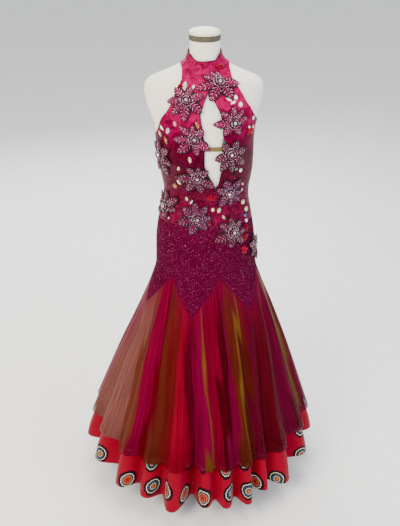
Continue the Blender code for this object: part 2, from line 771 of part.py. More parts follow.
def main():
    for old in list(bpy.data.objects):
        bpy.data.objects.remove(old)
    collection = bpy.data.collections.new("Ballroom dress")
    bpy.context.scene.collection.children.link(collection)
    add_form(collection)
    add_collar(collection)
    add_front(collection)
    add_back(collection)
    add_strap(collection)
    add_yoke(collection)
    add_skirt(collection)
    add_flowers(collection)
    add_small_pieces(collection)


main()
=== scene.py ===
"""The looks of a beaded ballroom dress on its dress form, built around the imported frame.

Metres, +Z up, floor at z = 0. The dress's front faces -Y. A turn is an angle in degrees about the
upright axis, 0 at the front and growing towards +X. All the cloth follows one figure, the same
table of sections that the solids follow.
"""

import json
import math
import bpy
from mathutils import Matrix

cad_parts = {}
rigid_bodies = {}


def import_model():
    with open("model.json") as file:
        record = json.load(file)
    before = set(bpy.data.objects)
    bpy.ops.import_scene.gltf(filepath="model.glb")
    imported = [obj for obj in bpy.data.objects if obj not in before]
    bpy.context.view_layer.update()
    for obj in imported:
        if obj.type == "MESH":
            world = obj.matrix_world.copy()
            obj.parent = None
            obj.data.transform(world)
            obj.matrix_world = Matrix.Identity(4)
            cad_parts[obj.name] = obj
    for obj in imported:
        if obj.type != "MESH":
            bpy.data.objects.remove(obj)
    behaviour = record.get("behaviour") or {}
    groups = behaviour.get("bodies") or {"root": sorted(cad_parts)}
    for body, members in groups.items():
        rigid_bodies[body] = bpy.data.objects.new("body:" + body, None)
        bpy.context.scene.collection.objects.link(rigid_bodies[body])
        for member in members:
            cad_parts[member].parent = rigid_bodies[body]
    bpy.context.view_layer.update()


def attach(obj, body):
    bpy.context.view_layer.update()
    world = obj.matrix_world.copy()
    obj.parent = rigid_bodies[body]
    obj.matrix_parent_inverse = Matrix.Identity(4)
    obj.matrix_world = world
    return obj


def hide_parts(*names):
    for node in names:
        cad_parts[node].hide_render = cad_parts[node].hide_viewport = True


bl_info = {
    "name": "Ballroom dress on a form",
    "version": (1, 0, 0),
    "blender": (4, 5, 0),
    "location": "3D View > Sidebar > Dress",
    "description": "Beaded halter dress with a godet skirt, on a limbless dress form",
    "category": "Add Mesh",
}

import bpy
import numpy as np

for startup_object in list(bpy.data.objects):
    bpy.data.objects.remove(startup_object)
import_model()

# Walls and clearances, as in the solids
EASE = 0.0015
FORM_INSET = 0.0022
STRETCH_CLOTH = 0.0015
ORGANZA = 0.0010
SEAM_GAP = 0.0003
CLOTH_MIDDLE = EASE + STRETCH_CLOTH / 2
OUTER_FACE = EASE + STRETCH_CLOTH
CLOTH_HALF = STRETCH_CLOTH / 2
LAYER_GAP = 0.010
LAYER_STEP = 0.0024
OVERLAY_SHARE = 0.55
YOKE_EDGE_GAP = 0.0006
UNDER_EDGE_GAP = 0.0020
UNDER_FOLD_SHARE = 0.75
BAND_RIPPLE = 0.0008
HEM_ROLL_GAIN = 0.9
HEM_ROLL_START = 0.93
HEM_ROLL_REACH = 0.05

# Steps for directions along the figure, and the radius that turns are unrolled at
TURN_STEP = 0.5
HEIGHT_STEP = 0.003
CLOTH_RADIUS = 0.15
SEAM_RADIUS = 0.14

# Heights
FORM_BOTTOM = 0.780
FORM_TOP = 1.4815
NECK_BAND_TOP = 1.4975
NECK_CAP_TOP = 1.5120
FRONT_SEAM = 0.936
COLLAR_SEAM = 1.3836
GODET_APEX = 0.762
YOKE_POINT = 0.650
BAND_TOP = 0.215
OVERLAY_HEM = 0.195
OVERLAY_FOLLOWS = 0.1

# The figure: section half width, depth to the front and to the back, and sideways lean
FIGURE = (
    # height, half_width, front, back, lean
    (1.4860, 0.0455, 0.0455, 0.0455, 0.000),
    (1.4480, 0.0462, 0.0462, 0.0470, 0.000),
    (1.4250, 0.0560, 0.0500, 0.0530, 0.000),
    (1.4080, 0.0830, 0.0550, 0.0610, 0.000),
    (1.3900, 0.1220, 0.0630, 0.0700, 0.000),
    (1.3720, 0.1640, 0.0730, 0.0790, -0.001),
    (1.3520, 0.1765, 0.0840, 0.0870, -0.002),
    (1.3340, 0.1765, 0.0920, 0.0920, -0.003),
    (1.2980, 0.1700, 0.1040, 0.0980, -0.003),
    (1.2620, 0.1595, 0.1120, 0.1010, -0.002),
    (1.2250, 0.1490, 0.1180, 0.1010, 0.000),
    (1.1870, 0.1450, 0.1220, 0.0985, 0.001),
    (1.1480, 0.1440, 0.1220, 0.0940, 0.002),
    (1.1100, 0.1410, 0.1160, 0.0890, 0.004),
    (1.0700, 0.1345, 0.1065, 0.0850, 0.006),
    (1.0300, 0.1285, 0.0985, 0.0840, 0.006),
    (1.0100, 0.1290, 0.0965, 0.0855, 0.005),
    (0.9690, 0.1365, 0.0975, 0.0930, 0.004),
    (0.9280, 0.1450, 0.1010, 0.1040, 0.003),
    (0.8850, 0.1515, 0.1040, 0.1170, 0.003),
    (0.8420, 0.1555, 0.1070, 0.1280, 0.004),
    (0.7770, 0.1580, 0.1100, 0.1320, 0.005),
    (0.7100, 0.1780, 0.1290, 0.1490, 0.006),
    (0.6400, 0.2060, 0.1660, 0.1830, 0.006),
    (0.5470, 0.2440, 0.2150, 0.2280, 0.003),
    (0.4490, 0.2840, 0.2640, 0.2720, -0.002),
    (0.3490, 0.3220, 0.3090, 0.3130, -0.006),
    (0.2460, 0.3600, 0.3530, 0.3540, -0.010),
    (0.1390, 0.3980, 0.3950, 0.3950, -0.014),
    (0.0500, 0.4140, 0.4130, 0.4120, -0.018),
)
BUST_REACH, BUST_TURN, BUST_SPREAD, BUST_HEIGHT, BUST_FALL = 0.012, 30.0, 20.0, 1.165, 0.050

# How far the valley between two flutes falls in from the crests, by height
FLUTE_DEPTH = (
    # height, depth
    (0.762, 0.008),
    (0.600, 0.020),
    (0.450, 0.033),
    (0.300, 0.043),
    (0.150, 0.053),
    (0.050, 0.056),
)
CREST_ROUNDNESS = 1.4
VALLEY_LIFT = 0.006
FLUTES_FULL, GAP_FULL, REACH_FULL, TURN_FULL = 0.12, 0.20, 0.35, 0.40

# The six godets, each from one yoke point to the next, with its flutes at the hem
GODETS = (
    # name, seam turn at the yoke, seam turn at the hem,
    # flutes: (crest turn, extra reach, hem height, depth of the valley after it)
    ("front_left", -70, -73, ((-62, 0.004, 0.105, 0.9), (-41, 0.006, 0.088, 0.8),
                              (-27, -0.002, 0.084, 0.8), (-13, 0.008, 0.064, 1.25))),
    ("front", -13, -4, ((3, -0.002, 0.080, 0.6), (13, 0.003, 0.074, 0.7),
                        (24, 0.003, 0.070, 0.8), (34, -0.004, 0.092, 0.8))),
    ("front_right", 46, 38, ((46, 0.006, 0.084, 1.1), (67, 0.002, 0.108, 1.0),
                             (87, 0.004, 0.118, 1.0))),
    ("back_right", 106, 98, ((107, 0.002, 0.104, 0.9), (124, 0.005, 0.090, 1.0),
                             (140, -0.002, 0.082, 1.1), (156, 0.004, 0.074, 1.0))),
    ("back_left", 167, 164, ((173, 0.006, 0.068, 1.0), (190, 0.000, 0.072, 0.9),
                             (207, 0.005, 0.080, 1.0), (225, -0.002, 0.088, 1.0))),
    ("side_left", 229, 234, ((243, 0.004, 0.098, 1.0), (260, 0.000, 0.104, 0.9),
                             (277, 0.006, 0.108, 1.0))),
)
FLUTE_STEPS = 20
YOKE_STEPS = 12
LAYER_ROWS = 46
BAND_ROWS = 16

# Shot organza changes colour from fold to fold: where each streak starts at knee height
STREAKS = (
    # turn, colour, how much it covers
    (-92, "#A04258", 0.80),
    (-80, "#A4625A", 0.74),
    (-52, "#843E2A", 0.84),
    (-42, "#96063A", 0.86),
    (-34, "#780418", 0.88),
    (-30, "#70281C", 0.88),
    (-23, "#7E1C1C", 0.88),
    (-17, "#A00A2A", 0.88),
    (-9, "#700A20", 0.88),
    (-4, "#8E063C", 0.88),
    (3.0, "#8E5A20", 0.86),
    (4.3, "#8C082C", 0.88),
    (12, "#5A0414", 0.88),
    (16, "#8A083C", 0.88),
    (20, "#6C2618", 0.88),
    (25.3, "#8E6424", 0.86),
    (26.6, "#641E14", 0.88),
    (31, "#6A0828", 0.88),
    (36, "#640A1C", 0.88),
    (49, "#7C0636", 0.88),
    (64, "#5E0420", 0.88),
    (69, "#86621E", 0.86),
    (80, "#7A0434", 0.86),
    (84, "#5E0418", 0.88),
    (90, "#6A1E0C", 0.84),
    (97, "#8A0634", 0.88),
    (112, "#6A240C", 0.86),
    (118, "#94082A", 0.88),
    (131, "#5E0418", 0.88),
    (143, "#8A5824", 0.86),
    (144.5, "#8A0638", 0.88),
    (158, "#A00A26", 0.88),
    (168, "#6E281C", 0.86),
    (177, "#8A0636", 0.88),
    (187, "#8A5A24", 0.86),
    (188.5, "#94082C", 0.88),
    (204, "#640A22", 0.88),
    (214, "#702C20", 0.86),
    (222, "#90083A", 0.88),
    (232, "#6A240C", 0.86),
    (240, "#90082C", 0.88),
    (250, "#8A4438", 0.86),
)
STREAK_HEIGHT = 0.35
STREAK_BLEND = 1.2
OVERLAY_TONE = 0.44
UNDER_TONE = 0.42
# Cover of each layer over the band, and of both above it, where they lie close together
OVERLAY_COVER_GAIN = 0.76
UNDER_COVER_GAIN = 1.16
CLOSE_COVER_GAIN = 1.06
SHEER_REACH = 0.08
# Both layers are magenta and gathered close where they leave the yoke
YOKE_TINT = "#8A0838"
YOKE_TINT_SHARE = 0.8
YOKE_TINT_FALL = 0.055
YOKE_COVER = 0.97

# The roundels of the hem print: where each ring starts, as a share of the repeat, and its colour
PRINT_RINGS = (
    ((0.0, "ground"), (0.060, "warm"), (0.082, "dark"), (0.108, "warm"), (0.136, "cool"),
     (0.154, "dark"), (0.190, "cream"), (0.216, "dark"), (0.305, "ground")),
    ((0.0, "warm"), (0.045, "dark"), (0.080, "cream"), (0.098, "dark"), (0.132, "cool"),
     (0.150, "dark"), (0.196, "cream"), (0.222, "dark"), (0.296, "ground")),
)
PRINT_SCALLOPS = 12.0

# Edges of the halter front, as distances from the middle
ARMHOLE = (
    # height, left, right
    (1.3836, -0.063, 0.077),
    (1.3500, -0.081, 0.101),
    (1.3200, -0.094, 0.118),
    (1.3000, -0.104, 0.131),
    (1.2680, -0.125, 0.146),
    (1.2425, -0.1330, 0.156),
    (1.2160, -0.1420, 0.156),
    (1.2000, -0.1500, 0.156),
)
KEYHOLE = (
    # height, left, right
    (1.3500, 0.008, 0.008),
    (1.3300, 0.000, 0.025),
    (1.3110, -0.006, 0.036),
    (1.2900, -0.0130, 0.046),
    (1.2425, -0.006, 0.0535),
    (1.1900, -0.001, 0.0525),
    (1.1470, -0.001, 0.050),
    (1.1170, 0.008, 0.0465),
    (1.0830, 0.024, 0.042),
    (1.0620, 0.031, 0.031),
)
FRONT_HALF_COLUMNS = 26
FRONT_ROW_STEP = 0.0042
BINDING_RADIUS = 0.0013
BINDING_SIDES = 8
ARMHOLE_BINDING_RADIUS = 0.0012
ARMHOLE_BINDING_LOW = 1.2425

# Collar edges by turn from the front
COLLAR_EDGE = (
    # turn, lower edge, upper edge
    (-180, 1.4060, 1.4520),
    (-90, 1.4150, 1.4500),
    (-58, 1.4110, 1.4440),
    (-44, 1.4030, 1.4370),
    (-34, 1.3930, 1.4320),
    (-27, COLLAR_SEAM, 1.4300),
    (0, COLLAR_SEAM, 1.4285),
    (33, COLLAR_SEAM, 1.4310),
    (40, 1.3930, 1.4350),
    (50, 1.4030, 1.4400),
    (62, 1.4110, 1.4450),
    (90, 1.4150, 1.4500),
    (180, 1.4060, 1.4520),
)
COLLAR_SEAM_TURN = 0.35
COLLAR_ROLL_RADIUS = 0.0014

# Upper edge of the low back, from the right side seam to the left one
BACK_EDGE = (
    # turn, height
    (90, 1.2420),
    (102, 1.2100),
    (122, 1.1450),
    (150, 1.0820),
    (180, 1.0600),
    (210, 1.0800),
    (240, 1.1350),
    (260, 1.1850),
    (270, 1.1995),
)

# Soft troughs (minus) and ridges in the cloth, placed one by one
FRONT_CREASES = (
    # turn, height, slant (degrees), length, width, depth (mm)
    (-58, 1.045, 24, 52, 5.0, -1.6),
    (-60, 1.030, 20, 46, 4.5, 1.2),
    (-50, 1.010, 30, 55, 5.5, -1.5),
    (-66, 1.000, 12, 40, 5.0, -1.2),
    (-42, 0.985, 36, 50, 6.0, 1.1),
    (60, 1.040, -22, 50, 5.0, -1.5),
    (66, 1.022, -18, 44, 4.5, 1.2),
    (52, 1.006, -30, 52, 6.0, -1.3),
    (72, 0.990, -10, 42, 5.0, -1.1),
    (-48, 1.292, 58, 46, 4.0, -1.2),
    (-40, 1.340, 64, 38, 3.5, 1.0),
    (52, 1.300, -56, 48, 4.0, -1.2),
    (46, 1.352, -62, 34, 3.5, 1.0),
    (-30, 1.372, 74, 26, 3.0, -1.0),
    (8, 1.372, 84, 20, 3.0, -0.9),
    (12, 1.010, 78, 46, 6.0, -0.9),
)
BACK_CREASES = (
    # turn, height, slant (degrees), length, width, depth (mm)
    (118, 1.046, 24, 54, 5.0, -1.6),
    (122, 1.030, 20, 46, 4.5, 1.2),
    (132, 1.008, 30, 56, 5.5, -1.5),
    (112, 0.998, 12, 42, 5.0, -1.2),
    (242, 1.044, -22, 52, 5.0, -1.5),
    (238, 1.028, -18, 44, 4.5, 1.2),
    (228, 1.004, -32, 54, 6.0, -1.4),
    (250, 0.992, -10, 42, 5.0, -1.1),
    (172, 1.030, 82, 40, 6.0, -1.0),
    (190, 1.004, -80, 44, 6.0, -0.9),
)
COLLAR_CREASES = (
    # turn, height, slant (degrees), length, width, depth (mm)
    (-46, 1.425, -18, 30, 3.2, -2.2),
    (-30, 1.414, -30, 26, 3.0, 1.8),
    (-18, 1.405, 22, 22, 2.8, -1.9),
    (-4, 1.417, 62, 20, 3.0, -2.4),
    (6, 1.402, 70, 18, 2.8, 1.9),
    (20, 1.416, -12, 24, 3.0, -1.9),
    (38, 1.424, 20, 28, 3.2, -2.0),
    (60, 1.428, 8, 30, 3.0, 1.8),
    (-70, 1.428, -6, 30, 3.0, -1.9),
    (95, 1.430, 6, 34, 3.0, -1.8),
    (-100, 1.432, -8, 34, 3.2, 1.8),
    (130, 1.430, -10, 34, 3.0, 1.8),
    (-132, 1.428, 12, 32, 3.2, -1.9),
    (160, 1.428, 12, 26, 2.8, -1.8),
    (-162, 1.430, -14, 26, 2.8, 1.8),
)

# Beaded flowers: where the middle sits, and each petal's direction and length
FLOWERS = (
    # name, turn, height, lift (mm), bead tone,
    # petals: (direction in degrees, length in mm)
    ("flower_01", 16, 1.376, 0.8, "rose",
     ((-159, 56), (-114, 56), (-62, 52), (-11, 44), (70, 28), (120, 30), (160, 40))),
    ("flower_02", -16, 1.330, 0.7, "rose",
     ((-172, 50), (-138, 56), (-101, 54), (-40, 46), (14, 40), (70, 30), (140, 40))),
    ("flower_03", 32, 1.264, 0.6, "rose",
     ((-134, 38), (-60, 34), (15, 36), (60, 36), (100, 42), (140, 46), (180, 50))),
    ("flower_04", -11, 1.221, 0.9, "rose",
     ((-177, 52), (-142, 52), (-82, 38), (-35, 42), (50, 34), (92, 36), (136, 45))),
    ("flower_05", -62, 1.156, 1.0, "silver",
     ((-161, 48), (-116, 50), (-66, 54), (-15, 46), (31, 44), (90, 38), (150, 46))),
    ("flower_06", -10, 1.105, 0.8, "silver",
     ((-172, 54), (-129, 52), (-80, 46), (-34, 48), (40, 36), (82, 34), (124, 38))),
    ("flower_07", 28, 1.176, 1.0, "silver",
     ((-165, 40), (-125, 46), (-85, 44), (-35, 50), (8, 46), (55, 36), (125, 34))),
    ("flower_08", 30, 1.045, 1.1, "violet",
     ((-123, 42), (-80, 38), (-40, 42), (0, 36), (53, 46), (106, 46), (152, 36))),
    ("flower_09", -64, 0.982, 1.4, "silver",
     ((-148, 48), (-72, 34), (0, 36), (44, 52), (90, 46), (135, 50), (177, 46))),
    ("flower_10", -10, 0.962, 0.8, "violet",
     ((-164, 54), (-110, 44), (-50, 36), (10, 34), (60, 44), (104, 50), (146, 52))),
    ("flower_11", 35, 0.912, 0.7, "silver",
     ((-160, 52), (-107, 42), (-52, 42), (0, 34), (54, 38), (99, 44), (141, 46))),
    ("flower_12", 74, 0.846, 1.9, "silver",
     ((-120, 32), (-76, 50), (-20, 26), (40, 28), (94, 32), (160, 28))),
)
PETAL_WIDTH = 0.27
PETAL_ROWS = 16
PETAL_COLUMNS = 8
PETAL_ROOT = 0.16
PETAL_ARCH = 0.0046
PETAL_TIP_LIFT = 0.0030
PETAL_STAGGER = 0.0016
PETAL_HALF = 0.0005
PETAL_REST = 0.0006
PETAL_ROOM_SHARE = 0.50
PETAL_VEIN_RISE = 0.0009
PETAL_RIB_RISE = 0.0005
VEIN_PAIRS = 4
VEIN_SLANT = 0.26
VEIN_BEAD_LIFT = 0.0009
SIDE_BEAD_LIFT = 0.0008
MIDDLE_BEAD_SHARE = 1.05
CORD_SIDES = 6
CENTRE_RADIUS = 0.0182
CENTRE_HEIGHT = 0.0085
# The rings of big beads are lighter than the petals' beads, partly their own colour and partly painted
# highlights of their sparkle; the rings of small dark beads stand for painted shade in the gaps between
# the rows.
CENTRE_RINGS = (
    # radius (mm), beads, bead size (mm), bead tones
    (17.2, 26, 1.5, ("#D8C0CC", "#A87E94", "#F4E6EE", "#8A5E76")),
    (13.6, 20, 1.0, ("#4A1830", "#64203E", "#7E3454", "#3A1024")),
    (10.2, 15, 1.5, ("#CCB0C0", "#946A80", "#F0E0E8", "#6E3E58")),
    (7.0, 11, 1.0, ("#5A1A38", "#7E3454", "#8A4A66", "#4A1830")),
)
CENTRE_BEAD_LIFT = 0.0006
CENTRE_STONE = 0.0052
CENTRE_STONE_LIFT = 0.0004
CENTRE_STONE_TINT = "#D0C2D0"
# How bright the net glows in each kind of flower, and the tones of its beads
PETAL_GLOWS = {"rose": 2.1, "silver": 1.25, "violet": 1.5}
BEAD_TONES = {
    "rose": ("#C07A96", "#9A3E66", "#E6C2D0", "#6A1838"),
    "silver": ("#9A8691", "#6E4C60", "#D2C6CE", "#4A2438"),
    "violet": ("#8E7496", "#684A72", "#C8B8D2", "#442448"),
}

# Small folded pieces of red cloth, and the stones
RED_FOLDS = (
    # name, turn, height, across, tall (mm)
    ("red_fold_1", 34, 1.412, 20, 16),
    ("red_fold_2", 60, 1.232, 26, 22),
    ("red_fold_3", 7, 1.034, 26, 18),
    ("red_fold_4", 57, 0.914, 16, 18),
    ("red_fold_5", 53, 0.886, 18, 18),
    ("red_fold_6", 50, 0.846, 20, 20),
    ("red_fold_7", -23, 1.364, 16, 12),
)
RED_FOLD_SPREAD = 1.25
RED_FOLD_REST = 0.0012
RED_FOLD_RISE = 0.0066
LARGE_STONES = (
    # name, turn, height, across, tall (mm), tilt (degrees), colour
    ("stone_1", -31, 1.262, 10, 16, -8, "champagne"),
    ("stone_2", -44, 1.064, 15, 20, -16, "amber"),
    ("stone_3", -27, 1.026, 10, 16, 14, "champagne"),
    ("stone_4", 9, 0.993, 11, 15, -14, "champagne"),
    ("stone_5", 58, 1.000, 16, 16, 8, "olivine"),
    ("stone_6", 64, 0.973, 16, 16, 6, "olivine"),
    ("stone_7", 44, 1.118, 12, 15, 10, "ivory"),
    ("stone_8", -31, 1.132, 9, 16, -20, "champagne"),
)
SMALL_STONES = (
    # turn, height, across, tall (mm), tilt (degrees), colour
    (-26, 1.359, 11, 21, 24, "ivory"),
    (-19, 1.364, 14, 27, 12, "ivory"),
    (-11, 1.361, 10, 20, -30, "ivory"),
    (24, 1.330, 9, 22, 58, "ivory"),
    (28.5, 1.321, 9, 19, -62, "ivory"),
    (31, 1.334, 12, 17, 30, "ivory"),
    (37, 1.314, 13, 18, 30, "ivory"),
    (-52, 1.243, 9, 18, 24, "ivory"),
    (-43, 1.238, 12, 23, -28, "opal"),
    (-59, 1.222, 9, 19, 30, "champagne"),
    (-7, 1.262, 12, 24, 12, "amber"),
    (-48, 1.208, 11, 24, 22, "amber"),
    (61, 1.268, 8, 16, 10, "opal"),
    (57, 1.242, 8, 15, 40, "opal"),
    (21, 1.212, 9, 20, 24, "emerald"),
    (36, 1.128, 12, 12, 0, "emerald"),
    (17, 0.990, 12, 18, -18, "champagne"),
    (23, 0.966, 9, 16, 26, "champagne"),
    (59, 0.955, 13, 11, 0, "sapphire"),
    (60, 0.937, 11, 13, 4, "opal"),
    (-17, 1.163, 10, 20, 10, "champagne"),
    (-52, 0.950, 6, 7, 0, "opal"),
    (52, 1.066, 6, 7, 0, "opal"),
    (53, 1.046, 7, 9, 0, "opal"),
    (66, 1.238, 8, 15, -8, "champagne"),
    (-36, 1.080, 9, 17, 30, "champagne"),
    (-20, 1.016, 8, 15, -20, "opal"),
    (4, 1.075, 8, 12, 10, "champagne"),
)
STONE_COLOURS = {
    "ivory": "#FFF6EA",
    "champagne": "#E4D3A4",
    "amber": "#B06A1C",
    "olivine": "#C8D2A0",
    "emerald": "#1E6E50",
    "sapphire": "#3A4A9C",
    "opal": "#DCE2EC",
}
STONE_SIDES = 12
STONE_HEIGHT = 0.0042
GLITTER_LOW = 0.66
GLITTER_HIGH = 1.10
GLITTER_LIFT = 0.0007
GLITTER_TILT = 0.35
GLITTER_COLOURS = ("#E07AB0", "#C83A78", "#F2C8DC", "#A83A9A", "#D84A5A")

# The strap across the keyhole, then the neck, the hidden stand, and the sides of a turned piece
STRAP_HEIGHT = 1.1940
STRAP_HALF_HEIGHT = 0.0062
STRAP_INSET = 0.0012
NECK_RADIUS = 0.0458
FLANGE_RADIUS = 0.045
FLANGE_THICKNESS = 0.010
POLE_RADIUS = 0.0125
BASE_RADIUS = 0.170
BASE_THICKNESS = 0.014
TURNED_STEPS = 72

# The photograph's camera
CAMERA_PLACE = (-0.0136, -2.40, 2.00)
CAMERA_PITCH = 27.3
CAMERA_LENS = 56.74

# The studio
FLOOR_REACH = 9.0
STUDIO_AIR = "#F4F6FA"
STUDIO_AIR_STRENGTH = 0.95
LIGHTS = (
    # name, place, target, size, power, colour
    ("key_light", (-1.9, -2.6, 2.9), (0, 0, 0.9), 1.7, 170, "#FFF2E0"),
    ("fill_light", (2.6, -2.2, 1.7), (0, 0, 0.8), 2.2, 66, "#EAF0FF"),
    ("top_light", (0.2, 0.6, 3.6), (0, 0, 0.9), 2.0, 95, "#FFFFFF"),
    ("back_light", (-0.8, 2.8, 2.2), (0, 0, 0.9), 2.2, 78, "#FFFFFF"),
)


def linear(hex_colour):
    """A linear RGBA colour from an sRGB hex value."""
    parts = [int(hex_colour[k:k + 2], 16) / 255 for k in (1, 3, 5)]
    shown = [p / 12.92 if p <= 0.04045 else ((p + 0.055) / 1.055) ** 2.4 for p in parts]
    return (*shown, 1.0)


def soft(share):
    """0 below 0, 1 above 1, and a smooth step between."""
    share = np.clip(share, 0.0, 1.0)
    return share * share * (3 - 2 * share)


def curve(table, at):
    """Every column of a table at each key, by cubic steps that never overshoot its rows."""
    rows = np.array(sorted(table), float)
    keys, values = rows[:, 0], rows[:, 1:]
    run = np.diff(keys)[:, None]
    rise = np.diff(values, axis=0) / run
    product, total = rise[:-1] * rise[1:], rise[:-1] + rise[1:]
    between = np.where(product > 0, 2 * product / np.where(total == 0, 1, total), 0)
    slopes = np.vstack([rise[:1], between, rise[-1:]])
    at = np.clip(np.asarray(at, float), keys[0], keys[-1])
    k = np.clip(np.searchsorted(keys, at, side="right") - 1, 0, len(run) - 1)
    t = ((at - keys[k]) / run[k, 0])[..., None]
    return (
        values[k] * (1 + 2 * t) * (1 - t) ** 2
        + run[k] * slopes[k] * t * (1 - t) ** 2
        + values[k + 1] * t * t * (3 - 2 * t)
        - run[k] * slopes[k + 1] * t * t * (1 - t)
    )


def columns_at(table, at):
    """The columns of a table at each key, one by one."""
    return np.moveaxis(curve(table, at), -1, 0)


def unit(vectors):
    """Every vector at length 1."""
    return vectors / np.linalg.norm(vectors, axis=-1, keepdims=True)


def figure(turn, height):
    """Points of the figure that the dress hangs on."""
    turn, height = np.broadcast_arrays(np.asarray(turn, float), np.asarray(height, float))
    half_width, front, back, lean = columns_at(FIGURE, height)
    across, ahead = np.sin(np.radians(turn)), np.cos(np.radians(turn))
    near = sum(np.exp(-(((turn - side * BUST_TURN) / BUST_SPREAD) ** 2)) for side in (-1, 1))
    swell = BUST_REACH * near * np.exp(-(((height - BUST_HEIGHT) / BUST_FALL) ** 2))
    depth = np.where(ahead > 0, front + swell, back)
    return np.stack([lean + (half_width + swell) * across, -depth * ahead, height], axis=-1)


def spans(turn, height):
    """Short steps along the figure, round it and up it."""
    turn, height = np.asarray(turn, float), np.asarray(height, float)
    round_way = figure(turn + TURN_STEP, height) - figure(turn - TURN_STEP, height)
    up_way = figure(turn, height + HEIGHT_STEP) - figure(turn, height - HEIGHT_STEP)
    return round_way, up_way


def outward(turn, height):
    """The figure's normals."""
    return unit(np.cross(*spans(turn, height)))


def turn_at(distance, height):
    """The turns at which the figure's front is this far to the side of the middle."""
    half_width, _, _, lean = columns_at(FIGURE, height)
    return np.degrees(np.arcsin(np.clip((distance - lean) / half_width, -1, 1)))


def creased(table, turn, height):
    """How far out listed troughs and ridges move the cloth."""
    total = 0
    for at_turn, at_height, slant, length, width, depth in table:
        radius = curve(FIGURE, at_height)[0]
        x = np.radians(turn - at_turn) * radius * 1000
        y = (height - at_height) * 1000
        angle = math.radians(slant)
        along = x * math.cos(angle) + y * math.sin(angle)
        across = y * math.cos(angle) - x * math.sin(angle)
        bend = across + 0.004 * along * along
        total = total + depth / 1000 * np.exp(-((bend / width) ** 2)) * np.exp(-((along / length) ** 2))
    return total


def unevenness(x, y, size, seed):
    """A smooth random field between about -1 and 1, with features of one size."""
    random = np.random.default_rng(seed)
    total = 0
    for _ in range(7):
        angle, phase = random.uniform(0, math.tau, 2)
        scale = random.uniform(0.6, 1.6) * math.tau / size
        total = total + np.sin((x * math.cos(angle) + y * math.sin(angle)) * scale + phase)
    return total / 4


def add_mesh(name, points, faces, finish, uv=None, marks=None, smooth=True):
    """One object with its points' UV places in metres and its named marks."""
    mesh = bpy.data.meshes.new(name)
    mesh.from_pydata(np.asarray(points, float).reshape(-1, 3).tolist(), [], list(faces))
    mesh.validate()
    mesh.materials.append(finish)
    if uv is not None:
        corners = np.empty(len(mesh.loops), int)
        mesh.loops.foreach_get("vertex_index", corners)
        layer = mesh.uv_layers.new(name="Cloth")
        layer.data.foreach_set("uv", np.asarray(uv, np.float32)[corners].ravel())
    kinds = {1: ("FLOAT", "value"), 3: ("FLOAT_VECTOR", "vector"), 4: ("FLOAT_COLOR", "color")}
    for label, values in (marks or {}).items():
        values = np.asarray(values, np.float32)
        kind, field = kinds[values.shape[1] if values.ndim == 2 else 1]
        mesh.attributes.new(label, kind, "POINT").data.foreach_set(field, values.ravel())
    if smooth:
        mesh.shade_smooth()
    made = bpy.data.objects.new(name, mesh)
    bpy.context.scene.collection.objects.link(made)
    return made


def grid_faces(rows, columns, closed=False):
    """Quads of a grid whose rows run down and whose columns run with the turn."""
    high = np.arange(rows - 1)[:, None] * columns
    here = np.arange(columns if closed else columns - 1)[None, :]
    following = (here + 1) % columns
    corners = (high + here, high + columns + here, high + columns + following, high + following)
    return np.stack(corners, -1).reshape(-1, 4).tolist()


def wall(name, middles, normals, faces, half, finish, uv=None, marks=None):
    """A thin cloth shell: a sheet's points moved out and in by half its thickness, and its rim."""
    middles, normals = middles.reshape(-1, 3), normals.reshape(-1, 3)
    half = np.broadcast_to(np.asarray(half, float).reshape(-1, 1), (len(middles), 1))
    count = len(middles)
    edges = {(face[k], face[(k + 1) % len(face)]) for face in faces for k in range(len(face))}
    rim = [(b, a, a + count, b + count) for a, b in sorted(edges) if (b, a) not in edges]
    inside = [tuple(count + i for i in reversed(face)) for face in faces]
    points = np.vstack([middles + normals * half, middles - normals * half])
    uv = None if uv is None else np.vstack([uv.reshape(-1, 2)] * 2)
    marks = {label: np.concatenate([values, values]) for label, values in (marks or {}).items()}
    return add_mesh(name, points, [*map(tuple, faces), *inside, *rim], finish, uv, marks)


def grid_normals(grid, closed=False):
    """Outward normals of a grid, from the differences between neighbours."""
    if closed:
        round_way = np.roll(grid, -1, axis=1) - np.roll(grid, 1, axis=1)
    else:
        round_way = np.gradient(grid, axis=1)
    return unit(np.cross(round_way, -np.gradient(grid, axis=0)))


def tube(name, path, radius, sides, finish, closed=False):
    """A cord along a path of points."""
    points, faces = tube_parts([path], radius, sides, closed)
    return add_mesh(name, points, faces, finish)


def tube_parts(paths, radius, sides, closed=False):
    """Points and faces of cords along several paths, each with round ends closed to a point."""
    points, faces = [], []
    for path in paths:
        path = np.asarray(path, float)
        if closed:
            along = unit(np.roll(path, -1, axis=0) - np.roll(path, 1, axis=0))
        else:
            along = unit(np.gradient(path, axis=0))
        side = unit(np.cross(along, np.where(abs(along[:, 2:]) > 0.9, (1.0, 0, 0), (0, 0, 1.0))))
        up = np.cross(side, along)
        angles = np.arange(sides) * math.tau / sides
        ring = side[:, None] * np.cos(angles)[:, None] + up[:, None] * np.sin(angles)[:, None]
        start = sum(map(len, points))
        points.append((path[:, None] + ring * radius).reshape(-1, 3))
        count = len(path)
        for k in range(count if closed else count - 1):
            a, b = start + k * sides, start + (k + 1) % count * sides
            for s in range(sides):
                t = (s + 1) % sides
                faces.append((a + t, a + s, b + s, b + t))
        if not closed:
            last = start + (count - 1) * sides
            faces.append(tuple(start + s for s in range(sides)))
            faces.append(tuple(last + s for s in reversed(range(sides))))
    return np.vstack(points), faces


def laid(turn, height):
    """A function that lays (across, up, out) on the dress round one place of the figure."""
    round_way, up_way = spans(turn, height)
    across = np.linalg.norm(round_way) / (2 * TURN_STEP)
    up = np.linalg.norm(up_way) / (2 * HEIGHT_STEP)

    def lay(x, y, out):
        here = (turn + np.asarray(x, float) / across, height + np.asarray(y, float) / up)
        normal = outward(*here)
        return figure(*here) + normal * (OUTER_FACE + np.asarray(out, float))[..., None], normal

    return lay


